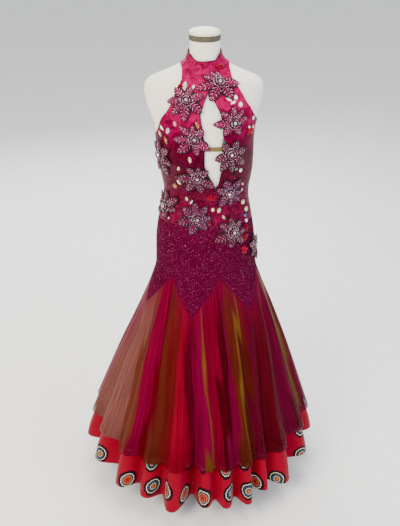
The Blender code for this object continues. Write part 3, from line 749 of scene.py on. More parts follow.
def turned(name, profile, finish):
    """A turned piece from a profile that starts and ends on the axis, down its outer side."""
    angles = np.arange(TURNED_STEPS) * math.tau / TURNED_STEPS
    inner = profile[1:-1]
    points = [(r * math.cos(a), r * math.sin(a), z) for r, z in inner for a in angles]
    faces = grid_faces(len(inner), TURNED_STEPS, closed=True)
    top, bottom = len(points), len(points) + 1
    last = (len(inner) - 1) * TURNED_STEPS
    for s in range(TURNED_STEPS):
        t = (s + 1) % TURNED_STEPS
        faces.append((top, s, t))
        faces.append((bottom, last + t, last + s))
    points += [(0, 0, profile[0][1]), (0, 0, profile[-1][1])]
    return add_mesh(name, points, faces, finish)


def rounded(radius, top, low, bevel, steps=5):
    """The profile of a round plate or rod with both edges rounded."""
    profile = [(0, top), ((radius - bevel) * 0.5, top)]
    for start, middle_z in ((90, top - bevel), (0, low + bevel)):
        for k in range(steps + 1):
            angle = math.radians(start - 90 * k / steps)
            profile.append((radius - bevel + bevel * math.cos(angle), middle_z + bevel * math.sin(angle)))
    return profile + [((radius - bevel) * 0.5, low), (0, low)]


def place(made, slot, *nodes):
    """Rides a finished piece on the one body, and hides the nodes it stands for; its slot is not used."""
    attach(made, "root")
    if nodes:
        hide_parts(*nodes)
    return made


# Materials


def add_node(tree, kind, settings=(), inputs=(), stops=(), to=None):
    """Adds a node with its settings, its inputs as values or links, and a ramp's stops.

    A node given as an input stands for its first output, and the new node's own first output
    leads to the shader's input that is named in to.
    """
    made = tree.nodes.new(kind)
    for label, value in dict(settings).items():
        setattr(made, label, value)
    for label, value in dict(inputs).items():
        if isinstance(value, bpy.types.Node):
            value = value.outputs[0]
        if isinstance(value, bpy.types.NodeSocket):
            tree.links.new(value, made.inputs[label])
        else:
            made.inputs[label].default_value = value
    for k, (position, colour) in enumerate(stops):
        elements = made.color_ramp.elements
        element = elements[k] if k < len(elements) else elements.new(position)
        element.position = position
        element.color = linear(colour) if isinstance(colour, str) else colour
    if to:
        tree.links.new(made.outputs[0], tree.nodes["Principled BSDF"].inputs[to])
    return made


def hue(name, share=1.0):
    """One of the user's colours, made deeper or brighter by a share."""
    colour = getattr(bpy.context.scene.dress_colours, name)
    return (*(min(1.0, part * share) for part in colour[:3]), 1.0)


def new_material(name, constants):
    """A material whose constants stand on its shader, and if it is new its tree and places."""
    made = bpy.data.materials.get(name)
    if made:
        return made, None, None
    made = bpy.data.materials.new(name)
    made.use_nodes = True
    tree = made.node_tree
    shader = tree.nodes["Principled BSDF"]
    for label, value in constants.items():
        shader.inputs[label].default_value = value
    made.diffuse_color = shader.inputs["Base Color"].default_value
    return made, tree, add_node(tree, "ShaderNodeTexCoord").outputs


def scaled_by_pattern(tree, colour, pattern, seen, shown):
    """The base colour, made deeper and brighter by a pattern."""
    limits = dict(zip(("From Min", "From Max", "To Min", "To Max"), (*seen, *shown)))
    share = add_node(tree, "ShaderNodeMapRange", inputs={"Value": pattern, **limits})
    add_node(tree, "ShaderNodeVectorMath", {"operation": "SCALE"},
             {0: colour, "Scale": share}, to="Base Color")


def weave(tree, where, spacing, relief, under=()):
    """Threads both ways at one spacing, as a relief of (strength, distance) over what lies under."""
    scaled = add_node(tree, "ShaderNodeMapping", inputs={"Vector": where, "Scale": (1 / spacing,) * 3})
    heights = []
    for direction in ("X", "Y"):
        settings = {"wave_type": "BANDS", "bands_direction": direction, "wave_profile": "SIN"}
        inputs = {"Vector": scaled, "Scale": 0.314, "Distortion": 0.4, "Detail": 1.0}
        heights.append(add_node(tree, "ShaderNodeTexWave", settings, inputs).outputs["Fac"])
    joined = add_node(tree, "ShaderNodeMath", {"operation": "MAXIMUM"}, {0: heights[0], 1: heights[1]})
    add_node(tree, "ShaderNodeBump", to="Normal", inputs={
        "Height": joined, "Strength": relief[0], "Distance": relief[1], **dict(under)})


def patterned(name, constants, texture, stops, relief, spacing=None):
    """A finish whose colour follows one texture, and whose relief is that texture or a weave."""
    made, tree, where = new_material(name, constants)
    if tree:
        kind, settings, inputs = texture
        pattern = add_node(tree, kind, settings, {"Vector": where["Object"], **inputs}).outputs["Fac"]
        add_node(tree, "ShaderNodeValToRGB", inputs={"Fac": pattern}, stops=stops, to="Base Color")
        if spacing:
            weave(tree, where["Object"], spacing, relief)
        else:
            add_node(tree, "ShaderNodeBump", to="Normal",
                     inputs={"Height": pattern, "Strength": relief[0], "Distance": relief[1]})
    return made


def form_jersey():
    """Off-white polyester jersey, stretched over a padded form: matt, with a fine knit."""
    constants = {"Base Color": hue("form_cloth"), "Roughness": 0.82, "Sheen Weight": 0.1,
                 "Sheen Roughness": 0.5, "Specular IOR Level": 0.3}
    # Real stitches are 0.8 mm, drawn at 1.6 mm so that they show close up
    return patterned("form_jersey", constants, ("ShaderNodeTexNoise", {}, {"Scale": 6.0, "Detail": 3.0}),
                     ((0.3, hue("form_cloth", 0.93)), (0.7, hue("form_cloth"))), (0.2, 0.0003), 0.0016)


def cotton_tape():
    """Dark brown cotton tape round the neck: matt, with a ribbed weave."""
    constants = {"Base Color": linear("#4A4436"), "Roughness": 0.9}
    return patterned("cotton_tape", constants, ("ShaderNodeTexNoise", {}, {"Scale": 160.0, "Detail": 4.0}),
                     ((0.3, "#38332A"), (0.7, "#625B4A")), (0.5, 0.0004), 0.0014)


def lacquered_wood():
    """Cream lacquered wood of the neck cap: smooth, with a faint grain under the lacquer."""
    constants = {"Base Color": linear("#EFE4CC"), "Roughness": 0.42, "Coat Weight": 0.25,
                 "Coat Roughness": 0.2}
    grain = ("ShaderNodeTexWave", {"wave_type": "RINGS", "rings_direction": "Z"},
             {"Scale": 40.0, "Distortion": 2.5, "Detail": 3.0})
    return patterned("lacquered_wood", constants, grain, ((0.0, "#EADCC2"), (1.0, "#F3EAD6")),
                     (0.06, 0.0005))


def plated_steel():
    """Nickel-plated steel, brushed round: satin, with fine turning marks."""
    made, tree, where = new_material("plated_steel", {
        "Base Color": linear("#C9C9CC"), "Metallic": 1.0, "Roughness": 0.32,
    })
    if tree:
        drawn = add_node(tree, "ShaderNodeMapping",
                         inputs={"Vector": where["Object"], "Scale": (8.0, 8.0, 420.0)})
        marks = add_node(tree, "ShaderNodeTexNoise", inputs={"Vector": drawn, "Scale": 1.0, "Detail": 4.0})
        add_node(tree, "ShaderNodeMapRange", to="Roughness",
                 inputs={"Value": marks.outputs["Fac"], "To Min": 0.24, "To Max": 0.46})
        add_node(tree, "ShaderNodeBump", to="Normal",
                 inputs={"Height": marks.outputs["Fac"], "Strength": 0.08, "Distance": 0.0003})
    return made


def stretch_satin():
    """Magenta stretch satin, hot pink at the neck and wine at the waist, crushed into soft creases."""
    made, tree, where = new_material("stretch_satin", {
        "Base Color": hue("satin_high"), "Roughness": 0.42, "IOR": 1.25, "Sheen Weight": 0.04,
        "Sheen Roughness": 0.4, "Sheen Tint": hue("satin_high"), "Specular IOR Level": 0.2,
        "Specular Tint": linear("#FF5FA8"),
    })
    if tree:
        height = add_node(tree, "ShaderNodeSeparateXYZ", inputs={"Vector": where["Object"]}).outputs["Z"]
        wander = add_node(tree, "ShaderNodeTexNoise",
                          inputs={"Vector": where["Object"], "Scale": 9.0, "Detail": 3.0})
        shifted = add_node(tree, "ShaderNodeMath", {"operation": "MULTIPLY_ADD"},
                           {0: wander.outputs["Fac"], 1: 0.10, 2: height})
        share = add_node(tree, "ShaderNodeMapRange",
                         inputs={"Value": shifted, "From Min": 0.98, "From Max": 1.48})
        tone = add_node(tree, "ShaderNodeValToRGB", inputs={"Fac": share}, stops=(
            (0.0, hue("satin_low", 1.9)), (0.15, hue("satin_low", 1.5)), (0.32, hue("satin_low", 0.9)),
            (0.50, hue("satin_low")), (0.62, hue("satin_high", 0.62)), (0.76, hue("satin_high")),
            (0.90, hue("satin_high", 1.12)), (1.0, hue("satin_high", 0.86))))
        # This noise shapes the crushed creases and also scales the colour: painted shade in their hollows
        # and painted highlights on their ridges.
        crush_and_shade = add_node(tree, "ShaderNodeTexNoise",
                         inputs={"Vector": where["Object"], "Scale": 46.0, "Detail": 4.0,
                                 "Distortion": 1.2})
        scaled_by_pattern(tree, tone, crush_and_shade.outputs["Fac"], (0.35, 0.68), (0.45, 1.3))
        creases = add_node(tree, "ShaderNodeBump",
                           inputs={"Height": crush_and_shade.outputs["Fac"], "Strength": 0.4, "Distance": 0.0025})
        # Real threads are 0.2 mm, drawn at 1.6 mm so that they show close up
        weave(tree, where["Object"], 0.0016, (0.12, 0.0003), {"Normal": creases})
    return made


def glitter_velvet():
    """Wine stretch velvet with a glitter print: dark soft pile with bright pink and violet specks."""
    made, tree, where = new_material("glitter_velvet", {
        "Base Color": hue("velvet"), "Roughness": 0.7, "IOR": 1.2, "Sheen Weight": 0.08,
        "Sheen Roughness": 0.35, "Sheen Tint": hue("velvet_speck"), "Specular IOR Level": 0.12,
        "Specular Tint": linear("#FF70B0"),
    })
    if tree:
        # Real specks are 0.4 mm, drawn at about 2 mm so that they show in the whole view
        specks = add_node(tree, "ShaderNodeTexVoronoi", inputs={"Vector": where["Object"], "Scale": 520.0})
        lit = add_node(tree, "ShaderNodeValToRGB", inputs={"Fac": specks.outputs["Color"]}, stops=(
            (0.0, hue("velvet", 0.6)), (0.42, hue("velvet")), (0.80, hue("velvet", 1.5)),
            (0.985, hue("velvet_speck"))))
        broad = add_node(tree, "ShaderNodeTexNoise",
                         inputs={"Vector": where["Object"], "Scale": 5.0, "Detail": 2.0})
        scaled_by_pattern(tree, lit, broad.outputs["Fac"], (0.3, 0.7), (0.82, 1.12))
        add_node(tree, "ShaderNodeBump", to="Normal",
                 inputs={"Height": specks.outputs["Distance"], "Strength": 0.35, "Distance": 0.0006})
    return made


def organza(name, roughness):
    """Shot nylon organza: crisp, sheer and glossy on its folds, with a colour for each streak."""
    made, tree, where = new_material(name, {
        "Base Color": hue("organza"), "Roughness": roughness, "IOR": 1.2, "Sheen Weight": 0.04,
        "Sheen Roughness": 0.3, "Sheen Tint": hue("organza"), "Specular IOR Level": 0.15,
        "Specular Tint": linear("#FF9078"),
    })
    if tree:
        tint = add_node(tree, "ShaderNodeAttribute", {"attribute_name": "shot_colour"})
        cover = add_node(tree, "ShaderNodeAttribute", {"attribute_name": "cover"})
        shader = tree.nodes["Principled BSDF"]
        tree.links.new(cover.outputs["Fac"], shader.inputs["Alpha"])
        # The watered sheen runs down the cloth, in marks of about 9 by 140 mm
        drawn = add_node(tree, "ShaderNodeMapping",
                         inputs={"Vector": where["UV"], "Scale": (110.0, 7.0, 1.0)})
        watered = add_node(tree, "ShaderNodeTexNoise",
                           inputs={"Vector": drawn, "Scale": 1.0, "Detail": 1.5})
        scaled_by_pattern(tree, tint, watered.outputs["Fac"], (0.3, 0.7), (0.76, 1.20))
        add_node(tree, "ShaderNodeBump", to="Normal",
                 inputs={"Height": watered.outputs["Fac"], "Strength": 0.2, "Distance": 0.0005})
    return made


def printed_satin():
    """Red cotton satin of the hem band, printed with plain ringed roundels of several colours."""
    made, tree, where = new_material("printed_satin", {
        "Base Color": hue("print_ground"), "Roughness": 0.5, "IOR": 1.3, "Sheen Weight": 0.03,
        "Sheen Roughness": 0.4, "Specular IOR Level": 0.2, "Specular Tint": linear("#FF7A80"),
    })
    if tree:
        repeat = bpy.context.scene.dress_sizes.print_repeat
        scaled = add_node(tree, "ShaderNodeMapping", inputs={
            "Vector": where["UV"], "Scale": (1 / repeat,) * 3, "Location": (0.2, 0.15, 0)})
        cells = add_node(tree, "ShaderNodeTexVoronoi", {"voronoi_dimensions": "2D"},
                         {"Vector": scaled, "Scale": 1.0, "Randomness": 0.4})
        offset = add_node(tree, "ShaderNodeVectorMath", {"operation": "SUBTRACT"},
                          {0: scaled, 1: cells.outputs["Position"]})
        split = add_node(tree, "ShaderNodeSeparateXYZ", inputs={"Vector": offset})
        angle = add_node(tree, "ShaderNodeMath", {"operation": "ARCTAN2"},
                         {0: split.outputs["Y"], 1: split.outputs["X"]})
        scallops = add_node(tree, "ShaderNodeMath", {"operation": "MULTIPLY"},
                            {0: angle, 1: PRINT_SCALLOPS})
        scallop = add_node(tree, "ShaderNodeMath", {"operation": "SINE"}, {0: scallops})
        waved = add_node(tree, "ShaderNodeMath", {"operation": "MULTIPLY_ADD"},
                         {0: scallop, 1: 0.007, 2: cells.outputs["Distance"]})
        ramps = []
        for rings in PRINT_RINGS:
            stops = [(radius, hue(f"print_{colour}")) for radius, colour in rings]
            ramps.append(add_node(tree, "ShaderNodeValToRGB", inputs={"Fac": waved}, stops=stops))
            ramps[-1].color_ramp.interpolation = "CONSTANT"
        parts = add_node(tree, "ShaderNodeSeparateColor", inputs={"Color": cells.outputs["Color"]})
        which = add_node(tree, "ShaderNodeMath", {"operation": "GREATER_THAN"}, {0: parts, 1: 0.5})
        mixed = add_node(tree, "ShaderNodeMix", {"data_type": "RGBA"},
                         {"Factor": which, 6: ramps[0], 7: ramps[1]})
        tree.links.new(mixed.outputs[2], tree.nodes["Principled BSDF"].inputs["Base Color"])
        # Real threads are 0.2 mm, drawn at 1.4 mm so that they show close up
        weave(tree, where["UV"], 0.0014, (0.15, 0.0003))
    return made


def olive_elastic():
    """Olive gold covered elastic: matt, with ribs along it."""
    constants = {"Base Color": hue("strap"), "Roughness": 0.7}
    ribs = ("ShaderNodeTexWave", {"wave_type": "BANDS", "bands_direction": "Z"},
            {"Scale": 150.0, "Distortion": 0.6})
    # The ribs are also the bump: the colour is painted shade in their grooves and painted highlights on
    # their tops.
    stops = ((0.0, hue("strap", 0.55)), (1.0, hue("strap", 1.25)))
    return patterned("olive_elastic", constants, ribs, stops, (0.5, 0.0006))


def petal_net():
    """Wine net laid over satin: a soft mesh with a pink glow between its threads."""
    made, tree, where = new_material("petal_net", {
        "Base Color": hue("petal_glow"), "Roughness": 0.5, "IOR": 1.3, "Sheen Weight": 0.04,
        "Sheen Roughness": 0.3, "Sheen Tint": hue("petal_glow"), "Specular IOR Level": 0.2,
        "Specular Tint": linear("#FF80B0"),
    })
    if tree:
        tint = add_node(tree, "ShaderNodeAttribute", {"attribute_name": "petal_tone"})
        # Real meshes are 1 mm, drawn at about 2 mm so that they show close up
        net = add_node(tree, "ShaderNodeTexVoronoi", {"feature": "DISTANCE_TO_EDGE"},
                       {"Vector": where["UV"], "Scale": 520.0})
        scaled_by_pattern(tree, tint, net.outputs["Distance"], (0.0, 0.16), (0.4, 1.2))
        add_node(tree, "ShaderNodeBump", to="Normal",
                 inputs={"Height": net.outputs["Distance"], "Strength": 0.4, "Distance": 0.0005})
    return made


def twisted_cord():
    """Dark wine rayon cord: silky, with its twist showing in relief and in painted shade and highlights.
    """
    constants = {"Base Color": hue("cord"), "Roughness": 0.4, "Specular IOR Level": 0.3}
    # The twist bands are also the bump: painted shade between the strands and painted highlights on them.
    twist = ("ShaderNodeTexWave", {"wave_type": "BANDS", "bands_direction": "DIAGONAL"},
             {"Scale": 220.0, "Distortion": 0.4})
    return patterned("twisted_cord", constants, twist, ((0.0, hue("cord", 0.5)), (1.0, hue("cord", 1.6))),
                     (0.4, 0.0005))


def lined_glass():
    """Silver-lined glass seed beads: clear coloured glass over a bright core."""
    made, tree, where = new_material("lined_glass", {
        "Base Color": hue("bead"), "Roughness": 0.16, "Metallic": 0.35, "Coat Weight": 0.5,
        "Coat Roughness": 0.05, "Specular IOR Level": 0.7,
    })
    if tree:
        tint = add_node(tree, "ShaderNodeAttribute", {"attribute_name": "tint"})
        mottle = add_node(tree, "ShaderNodeTexNoise", inputs={"Vector": where["Object"], "Scale": 700.0})
        scaled_by_pattern(tree, tint, mottle.outputs["Fac"], (0.0, 1.0), (0.7, 1.25))
    return made


def foiled_stone():
    """Foil-backed cut glass: bright flat facets with a mirror behind them."""
    made, tree, where = new_material("foiled_stone", {
        "Base Color": linear("#E8DCC0"), "Roughness": 0.08, "Metallic": 0.45, "Coat Weight": 0.8,
        "Coat Roughness": 0.03,
    })
    if tree:
        tint = add_node(tree, "ShaderNodeAttribute", {"attribute_name": "tint"})
        # Each cell has a brighter middle and a darker rim: painted glints of the foil seen through the
        # facets.
        inside = add_node(tree, "ShaderNodeTexVoronoi", inputs={"Vector": where["Object"], "Scale": 260.0})
        scaled_by_pattern(tree, tint, inside.outputs["Distance"], (0.0, 0.7), (1.2, 0.6))
    return made


def red_silk():
    """Folded red silk satin, with painted highlights on its ridges and painted shade deep in its folds."""
    constants = {"Base Color": hue("red_cloth"), "Roughness": 0.38, "Sheen Weight": 0.06,
                 "Sheen Roughness": 0.3, "Specular IOR Level": 0.25, "Specular Tint": linear("#FF5070")}
    # The fold noise is also the bump: its low places darken the colour as painted shade in the folds, and
    # its high places are painted highlights on the ridges.
    folds = ("ShaderNodeTexNoise", {}, {"Scale": 120.0, "Detail": 3.0, "Distortion": 0.8})
    stops = ((0.3, hue("red_cloth", 0.25)), (0.6, hue("red_cloth", 0.75)), (0.8, hue("red_cloth", 1.05)))
    return patterned("red_silk", constants, folds, stops, (0.4, 0.001))


def studio_paper():
    """Matt pale paper floor, with a faint tooth."""
    made, tree, where = new_material("studio_paper", {"Base Color": hue("floor"), "Roughness": 0.9})
    if tree:
        tooth = add_node(tree, "ShaderNodeTexNoise",
                         inputs={"Vector": where["Object"], "Scale": 30.0, "Detail": 4.0})
        add_node(tree, "ShaderNodeBump", to="Normal",
                 inputs={"Height": tooth.outputs["Fac"], "Strength": 0.05, "Distance": 0.001})
    return made


# Dress form and stand


def build_form():
    """The torso and neck, smooth and whole, with the neck's tape and cap."""
    rows, columns = 150, 96
    heights = np.linspace(FORM_TOP, FORM_BOTTOM, rows)[:, None]
    turns = np.arange(columns)[None, :] * 360 / columns - 180
    out = outward(turns, heights)
    out[..., 2] = 0
    points = (figure(turns, heights) - unit(out) * FORM_INSET).reshape(-1, 3)
    faces = grid_faces(rows, columns, closed=True)
    last = (rows - 1) * columns
    faces += [tuple(range(columns)), tuple(last + c for c in reversed(range(columns)))]
    torso = add_mesh("form_shell", points, faces, form_jersey())
    for end in torso.data.polygons[-2:]:
        end.use_smooth = False
    place(torso, "form_linen", "form_torso")
    tape = rounded(NECK_RADIUS, NECK_BAND_TOP, FORM_TOP + SEAM_GAP, 0.0012)
    place(turned("neck_tape", tape, cotton_tape()), "neck_tape", "neck_band")
    cap_low = NECK_BAND_TOP + SEAM_GAP
    profile = [(0, NECK_CAP_TOP)]
    for k in range(1, 13):
        angle = math.radians(90 * k / 12)
        profile.append((NECK_RADIUS * math.sin(angle) ** 0.42,
                        cap_low + (NECK_CAP_TOP - cap_low) * math.cos(angle) ** 0.62))
    profile += [(NECK_RADIUS * 0.98, cap_low), (NECK_RADIUS * 0.5, cap_low), (0, cap_low)]
    place(turned("neck_cap_wood", profile, lacquered_wood()), "form_linen", "neck_cap")


def build_stand():
    """The hidden stand: a flange under the torso, a pole, and a round base."""
    flange_top = FORM_BOTTOM - SEAM_GAP
    flange_low = flange_top - FLANGE_THICKNESS
    pieces = (
        ("flange_plate", FLANGE_RADIUS, flange_top, flange_low, 0.0015, "stand_flange"),
        ("pole_tube", POLE_RADIUS, flange_low - SEAM_GAP, BASE_THICKNESS + SEAM_GAP, 0.0008, "stand_pole"),
        ("base_plate", BASE_RADIUS, BASE_THICKNESS, 0.0, 0.0045, "stand_base"),
    )
    for name, radius, top, low, bevel, node in pieces:
        place(turned(name, rounded(radius, top, low, bevel), plated_steel()), "stand_metal", node)


# Bodice


def sheet_on_figure(name, turns, heights, faces, lift, finish, offset=CLOTH_MIDDLE):
    """A cloth shell close to the figure, with its UV places in metres of cloth."""
    turns, heights = turns.reshape(-1), heights.reshape(-1)
    normals = outward(turns, heights)
    middles = figure(turns, heights) + normals * (offset + np.reshape(lift, (-1, 1)))
    uv = np.stack([np.radians(turns) * CLOTH_RADIUS, heights], axis=-1)
    return wall(name, middles, normals, faces, CLOTH_HALF, finish, uv)


def build_collar():
    """The crushed stand collar and its rolled top edge."""
    rows, columns = 26, 240
    turns = np.linspace(-180 + COLLAR_SEAM_TURN, 180 - COLLAR_SEAM_TURN, columns)[None, :]
    low, high = columns_at(COLLAR_EDGE, turns)
    share = np.linspace(0, 1, rows)[:, None]
    heights = high + (low - high) * share
    turns = np.broadcast_to(turns, heights.shape)
    lift = creased(COLLAR_CREASES, turns, heights)
    lift = lift + 0.0004 * unevenness(turns * 0.9, heights * 1000, 14, 3)
    lift = lift * soft(share / 0.15) + 0.0006
    faces = grid_faces(rows, columns)
    collar = sheet_on_figure("collar_band", turns, heights, faces, lift, stretch_satin())
    place(collar, "magenta_stretch", "collar")
    edge_turns = turns[0]
    wave = 0.0007 * np.sin(np.radians(edge_turns * 7)) + 0.0003
    path = figure(edge_turns, heights[0] + wave)
    path = path + outward(edge_turns, heights[0]) * (CLOTH_MIDDLE + 0.0006)
    place(tube("collar_roll", path, COLLAR_ROLL_RADIUS, BINDING_SIDES, twisted_cord()), "magenta_stretch")


def front_mesh():
    """Turns, heights and faces of the halter front, whose two halves join above and below the keyhole."""
    tops = [COLLAR_SEAM - SEAM_GAP, KEYHOLE[0][0], KEYHOLE[-1][0], FRONT_SEAM + SEAM_GAP]
    heights = [tops[0]]
    for high, low in zip(tops, tops[1:]):
        steps = math.ceil((high - low) / FRONT_ROW_STEP)
        heights += [high + (low - high) * k / steps for k in range(1, steps + 1)]
    heights = np.array(heights)
    left, right = columns_at(ARMHOLE, heights)
    hole_left, hole_right = columns_at(KEYHOLE, heights)
    side = 90 - math.degrees(SEAM_GAP / 2 / SEAM_RADIUS)
    ends = (
        np.maximum(turn_at(left, heights), -side),
        turn_at(hole_left, heights),
        turn_at(hole_right, heights),
        np.minimum(turn_at(right, heights), side),
    )
    count = FRONT_HALF_COLUMNS + 1
    share = np.linspace(0, 1, count)[None, :]
    halves = [a[:, None] + (b - a)[:, None] * share for a, b in (ends[:2], ends[2:])]
    turns = np.hstack(halves)
    places = np.broadcast_to(heights[:, None], turns.shape)
    index = np.arange(turns.size).reshape(turns.shape)
    joined = (heights >= KEYHOLE[0][0] - 1e-9) | (heights <= KEYHOLE[-1][0] + 1e-9)
    index[joined, count] = index[joined, count - 1]
    faces = []
    for above, below in zip(index, index[1:]):
        for c in range(2 * count - 1):
            if c != count - 1:
                faces.append((above[c], below[c], below[c + 1], above[c + 1]))
    used = np.unique(index)
    fresh = np.full(turns.size, -1)
    fresh[used] = np.arange(len(used))
    faces = [tuple(int(fresh[i]) for i in face) for face in faces]
    return turns.reshape(-1)[used], places.reshape(-1)[used], faces


def build_front():
    """The halter front with its keyhole, its drag lines, and the narrow binding round the keyhole."""
    turns, heights, faces = front_mesh()
    lift = creased(FRONT_CREASES, turns, heights)
    lift = lift + 0.0003 * unevenness(turns * 1.5, heights * 1000, 34, 5)
    front = sheet_on_figure("front_panel", turns, heights, faces, lift + 0.0003, stretch_satin())
    place(front, "magenta_stretch", "front")
    heights = np.linspace(KEYHOLE[-1][0], KEYHOLE[0][0], 70)
    hole_left, hole_right = columns_at(KEYHOLE, heights)
    around = np.concatenate([turn_at(hole_right, heights), turn_at(hole_left, heights)[::-1][1:-1]])
    up = np.concatenate([heights, heights[::-1][1:-1]])
    rim = figure(around, up) + outward(around, up) * (CLOTH_MIDDLE + 0.0005)
    binding = tube("keyhole_binding", rim, BINDING_RADIUS, BINDING_SIDES, twisted_cord(), closed=True)
    place(binding, "magenta_stretch")
    heights = np.linspace(ARMHOLE_BINDING_LOW, COLLAR_SEAM, 50)
    edges = []
    for column in (0, 1):
        distance = curve(ARMHOLE, heights)[:, column]
        turn = turn_at(distance, heights)
        edges.append(figure(turn, heights) + outward(turn, heights) * (CLOTH_MIDDLE + 0.0003))
    points, faces = tube_parts(edges, ARMHOLE_BINDING_RADIUS, BINDING_SIDES)
    place(add_mesh("armhole_binding", points, faces, stretch_satin()), "magenta_stretch")


def build_back():
    """The low back, with its seam down the middle and the rolled upper edge."""
    rows, columns = 60, 90
    turns = np.linspace(90.1, 269.9, columns)[None, :]
    top = curve(BACK_EDGE, turns)[..., 0]
    share = np.linspace(0, 1, rows)[:, None]
    heights = top + (FRONT_SEAM + SEAM_GAP - top) * share
    turns = np.broadcast_to(turns, heights.shape)
    lift = creased(BACK_CREASES, turns, heights)
    lift = lift - 0.0007 * np.exp(-(((turns - 180) / 0.6) ** 2))
    lift = lift + 0.0003 * unevenness(turns * 1.5, heights * 1000, 34, 6)
    back = sheet_on_figure("back_panel", turns, heights, grid_faces(rows, columns), lift + 0.0003,
                           stretch_satin())
    place(back, "magenta_stretch", "back")
    edge = figure(turns[0], heights[0]) + outward(turns[0], heights[0]) * (CLOTH_MIDDLE + 0.0004)
    place(tube("back_binding", edge, BINDING_RADIUS, BINDING_SIDES, stretch_satin()), "magenta_stretch")


def build_strap():
    """The narrow elastic that ties the keyhole's sides together."""
    rows, columns = 8, 24
    heights = STRAP_HEIGHT + np.linspace(STRAP_HALF_HEIGHT, -STRAP_HALF_HEIGHT, rows)[:, None]
    left, right = columns_at(KEYHOLE, heights)
    start, end = turn_at(left + STRAP_INSET, heights), turn_at(right - STRAP_INSET, heights)
    turns = start + (end - start) * np.linspace(0, 1, columns)[None, :]
    heights = np.broadcast_to(heights, turns.shape)
    faces = grid_faces(rows, columns)
    strap = sheet_on_figure("strap_elastic", turns, heights, faces, np.zeros(turns.size), olive_elastic())
    place(strap, "strap_olive", "keyhole_strap")


# Skirt


def skirt_columns(steps):
    """Every column round the skirt as arrays: turns, yoke edge, fall, reach and hem, by godet."""
    flutes = [flute for godet in GODETS for flute in godet[3]]
    found = {label: [] for label in ("top_turn", "hem_turn", "edge", "fall", "reach", "hem")}
    panels = []
    number = 0
    for g, (name, seam_top, seam_hem, own) in enumerate(GODETS):
        following = GODETS[(g + 1) % len(GODETS)]
        wrap = 360 if g + 1 == len(GODETS) else 0
        end_top, end_hem = following[1] + wrap, following[2] + wrap
        valleys = [seam_hem, *((a[0] + b[0]) / 2 for a, b in zip(own, own[1:])), end_hem]
        panels.append((name, number * steps, len(own) * steps + 1))
        for k, (crest, reach, hem, depth) in enumerate(own):
            before, after = flutes[number - 1], flutes[(number + 1) % len(flutes)]
            phase = np.arange(steps) / steps
            fall = (0.5 + 0.5 * np.cos(math.tau * phase)) ** CREST_ROUNDNESS
            share = (k + phase) / len(own)
            rising = phase < 0.5
            low = (hem + np.where(rising, before[2], after[2])) / 2 + VALLEY_LIFT
            found["hem_turn"].append(np.where(
                rising,
                valleys[k] + (crest - valleys[k]) * 2 * phase,
                crest + (valleys[k + 1] - crest) * (2 * phase - 1)))
            found["top_turn"].append(seam_top + (end_top - seam_top) * share)
            found["edge"].append(YOKE_POINT + (GODET_APEX - YOKE_POINT) * (1 - abs(2 * share - 1)))
            found["fall"].append(fall * np.where(rising, before[3], depth))
            found["reach"].append(reach * (1 - fall))
            found["hem"].append(hem * (1 - fall) + low * fall)
            number += 1
    return {label: np.concatenate(parts) for label, parts in found.items()}, panels


def skirt_turn(columns, below):
    """Turns of the columns at a distance below the yoke: they swing from the yoke to the hem."""
    return columns["top_turn"] + (columns["hem_turn"] - columns["top_turn"]) * soft(below / TURN_FULL)


def skirt_grid(columns, tops, bottoms, shares, form, ripple):
    """One layer's points: the figure, drawn in at the valleys and pushed out at the crests."""
    share, gap, inset = form
    heights = tops + (bottoms - tops) * shares[:, None]
    below = columns["edge"] - heights
    turn = skirt_turn(columns, below)
    base = figure(turn, heights) + outward(turn, heights) * OUTER_FACE
    depth = curve(FLUTE_DEPTH, heights)[..., 0] * columns["fall"] * share * soft(below / FLUTES_FULL)
    inwards = depth + inset + gap * soft(below / GAP_FULL) - columns["reach"] * soft(below / REACH_FULL)
    inwards = inwards + ripple(heights, below)
    lean = curve(FIGURE, heights)[..., 3]
    middle = np.stack([lean, np.zeros_like(lean), heights], axis=-1)
    away = base - middle
    length = np.linalg.norm(away, axis=-1, keepdims=True)
    return middle + away * (1 - inwards[..., None] / length)


def small_folds(columns, seed, depth):
    """Crisp uneven folds between the flutes, none at the yoke and deepest above the hem."""
    count = len(columns["hem"])
    around = np.arange(count) / count * math.tau
    random = np.random.default_rng(seed)
    waves = [(int(random.integers(40, 110)), random.uniform(0, math.tau), random.uniform(0.4, 1.0))
             for _ in range(6)]

    def ripple(heights, below):
        total = 0
        for number, phase, share in waves:
            drift = phase + 1.2 * np.sin(around * 5 + phase) + below * 3
            total = total + share * np.sin(number * around + drift)
        return depth * (0.12 + 0.88 * soft(below / 0.5)) * soft(below / 0.14) * np.abs(total) / 3

    return ripple


def streak_marks(columns, edges, cover_gain, tone):
    """Each point's shot colour and cover, from the streak that its column lies in."""
    tops, bottoms = edges
    heights = tops + (bottoms - tops) * np.linspace(0, 1, LAYER_ROWS)[:, None]
    below = columns["edge"] - heights
    turn = skirt_turn(columns, columns["edge"] - STREAK_HEIGHT)
    # A streak wanders by up to 2.5 degrees as it runs down
    wander = 1.5 * np.sin(heights * 9 + turn * 0.4) + 1.0 * np.sin(heights * 23 + turn)
    first = STREAKS[0][0]
    turn = (turn + wander - first) % 360 + first
    colour = np.broadcast_to(np.array(linear(STREAKS[-1][1])), turn.shape + (4,)).copy()
    cover = np.full(turn.shape, STREAKS[-1][2])
    for start, streak_colour, streak_cover in STREAKS:
        mix = soft((turn - start) / STREAK_BLEND + 0.5)
        colour += (np.array(linear(streak_colour)) - colour) * mix[..., None]
        cover += (streak_cover - cover) * mix
    near_yoke = np.exp(-np.clip(below, 0, None) / YOKE_TINT_FALL)
    colour += (np.array(linear(YOKE_TINT)) - colour) * (near_yoke * YOKE_TINT_SHARE)[..., None]
    cover = cover + (YOKE_COVER - cover) * near_yoke
    colour[..., :3] *= tone
    gain = cover_gain + (CLOSE_COVER_GAIN - cover_gain) * soft((heights - BAND_TOP) / SHEER_REACH)
    return {"shot_colour": colour, "cover": np.clip(cover * gain, 0, 1)}


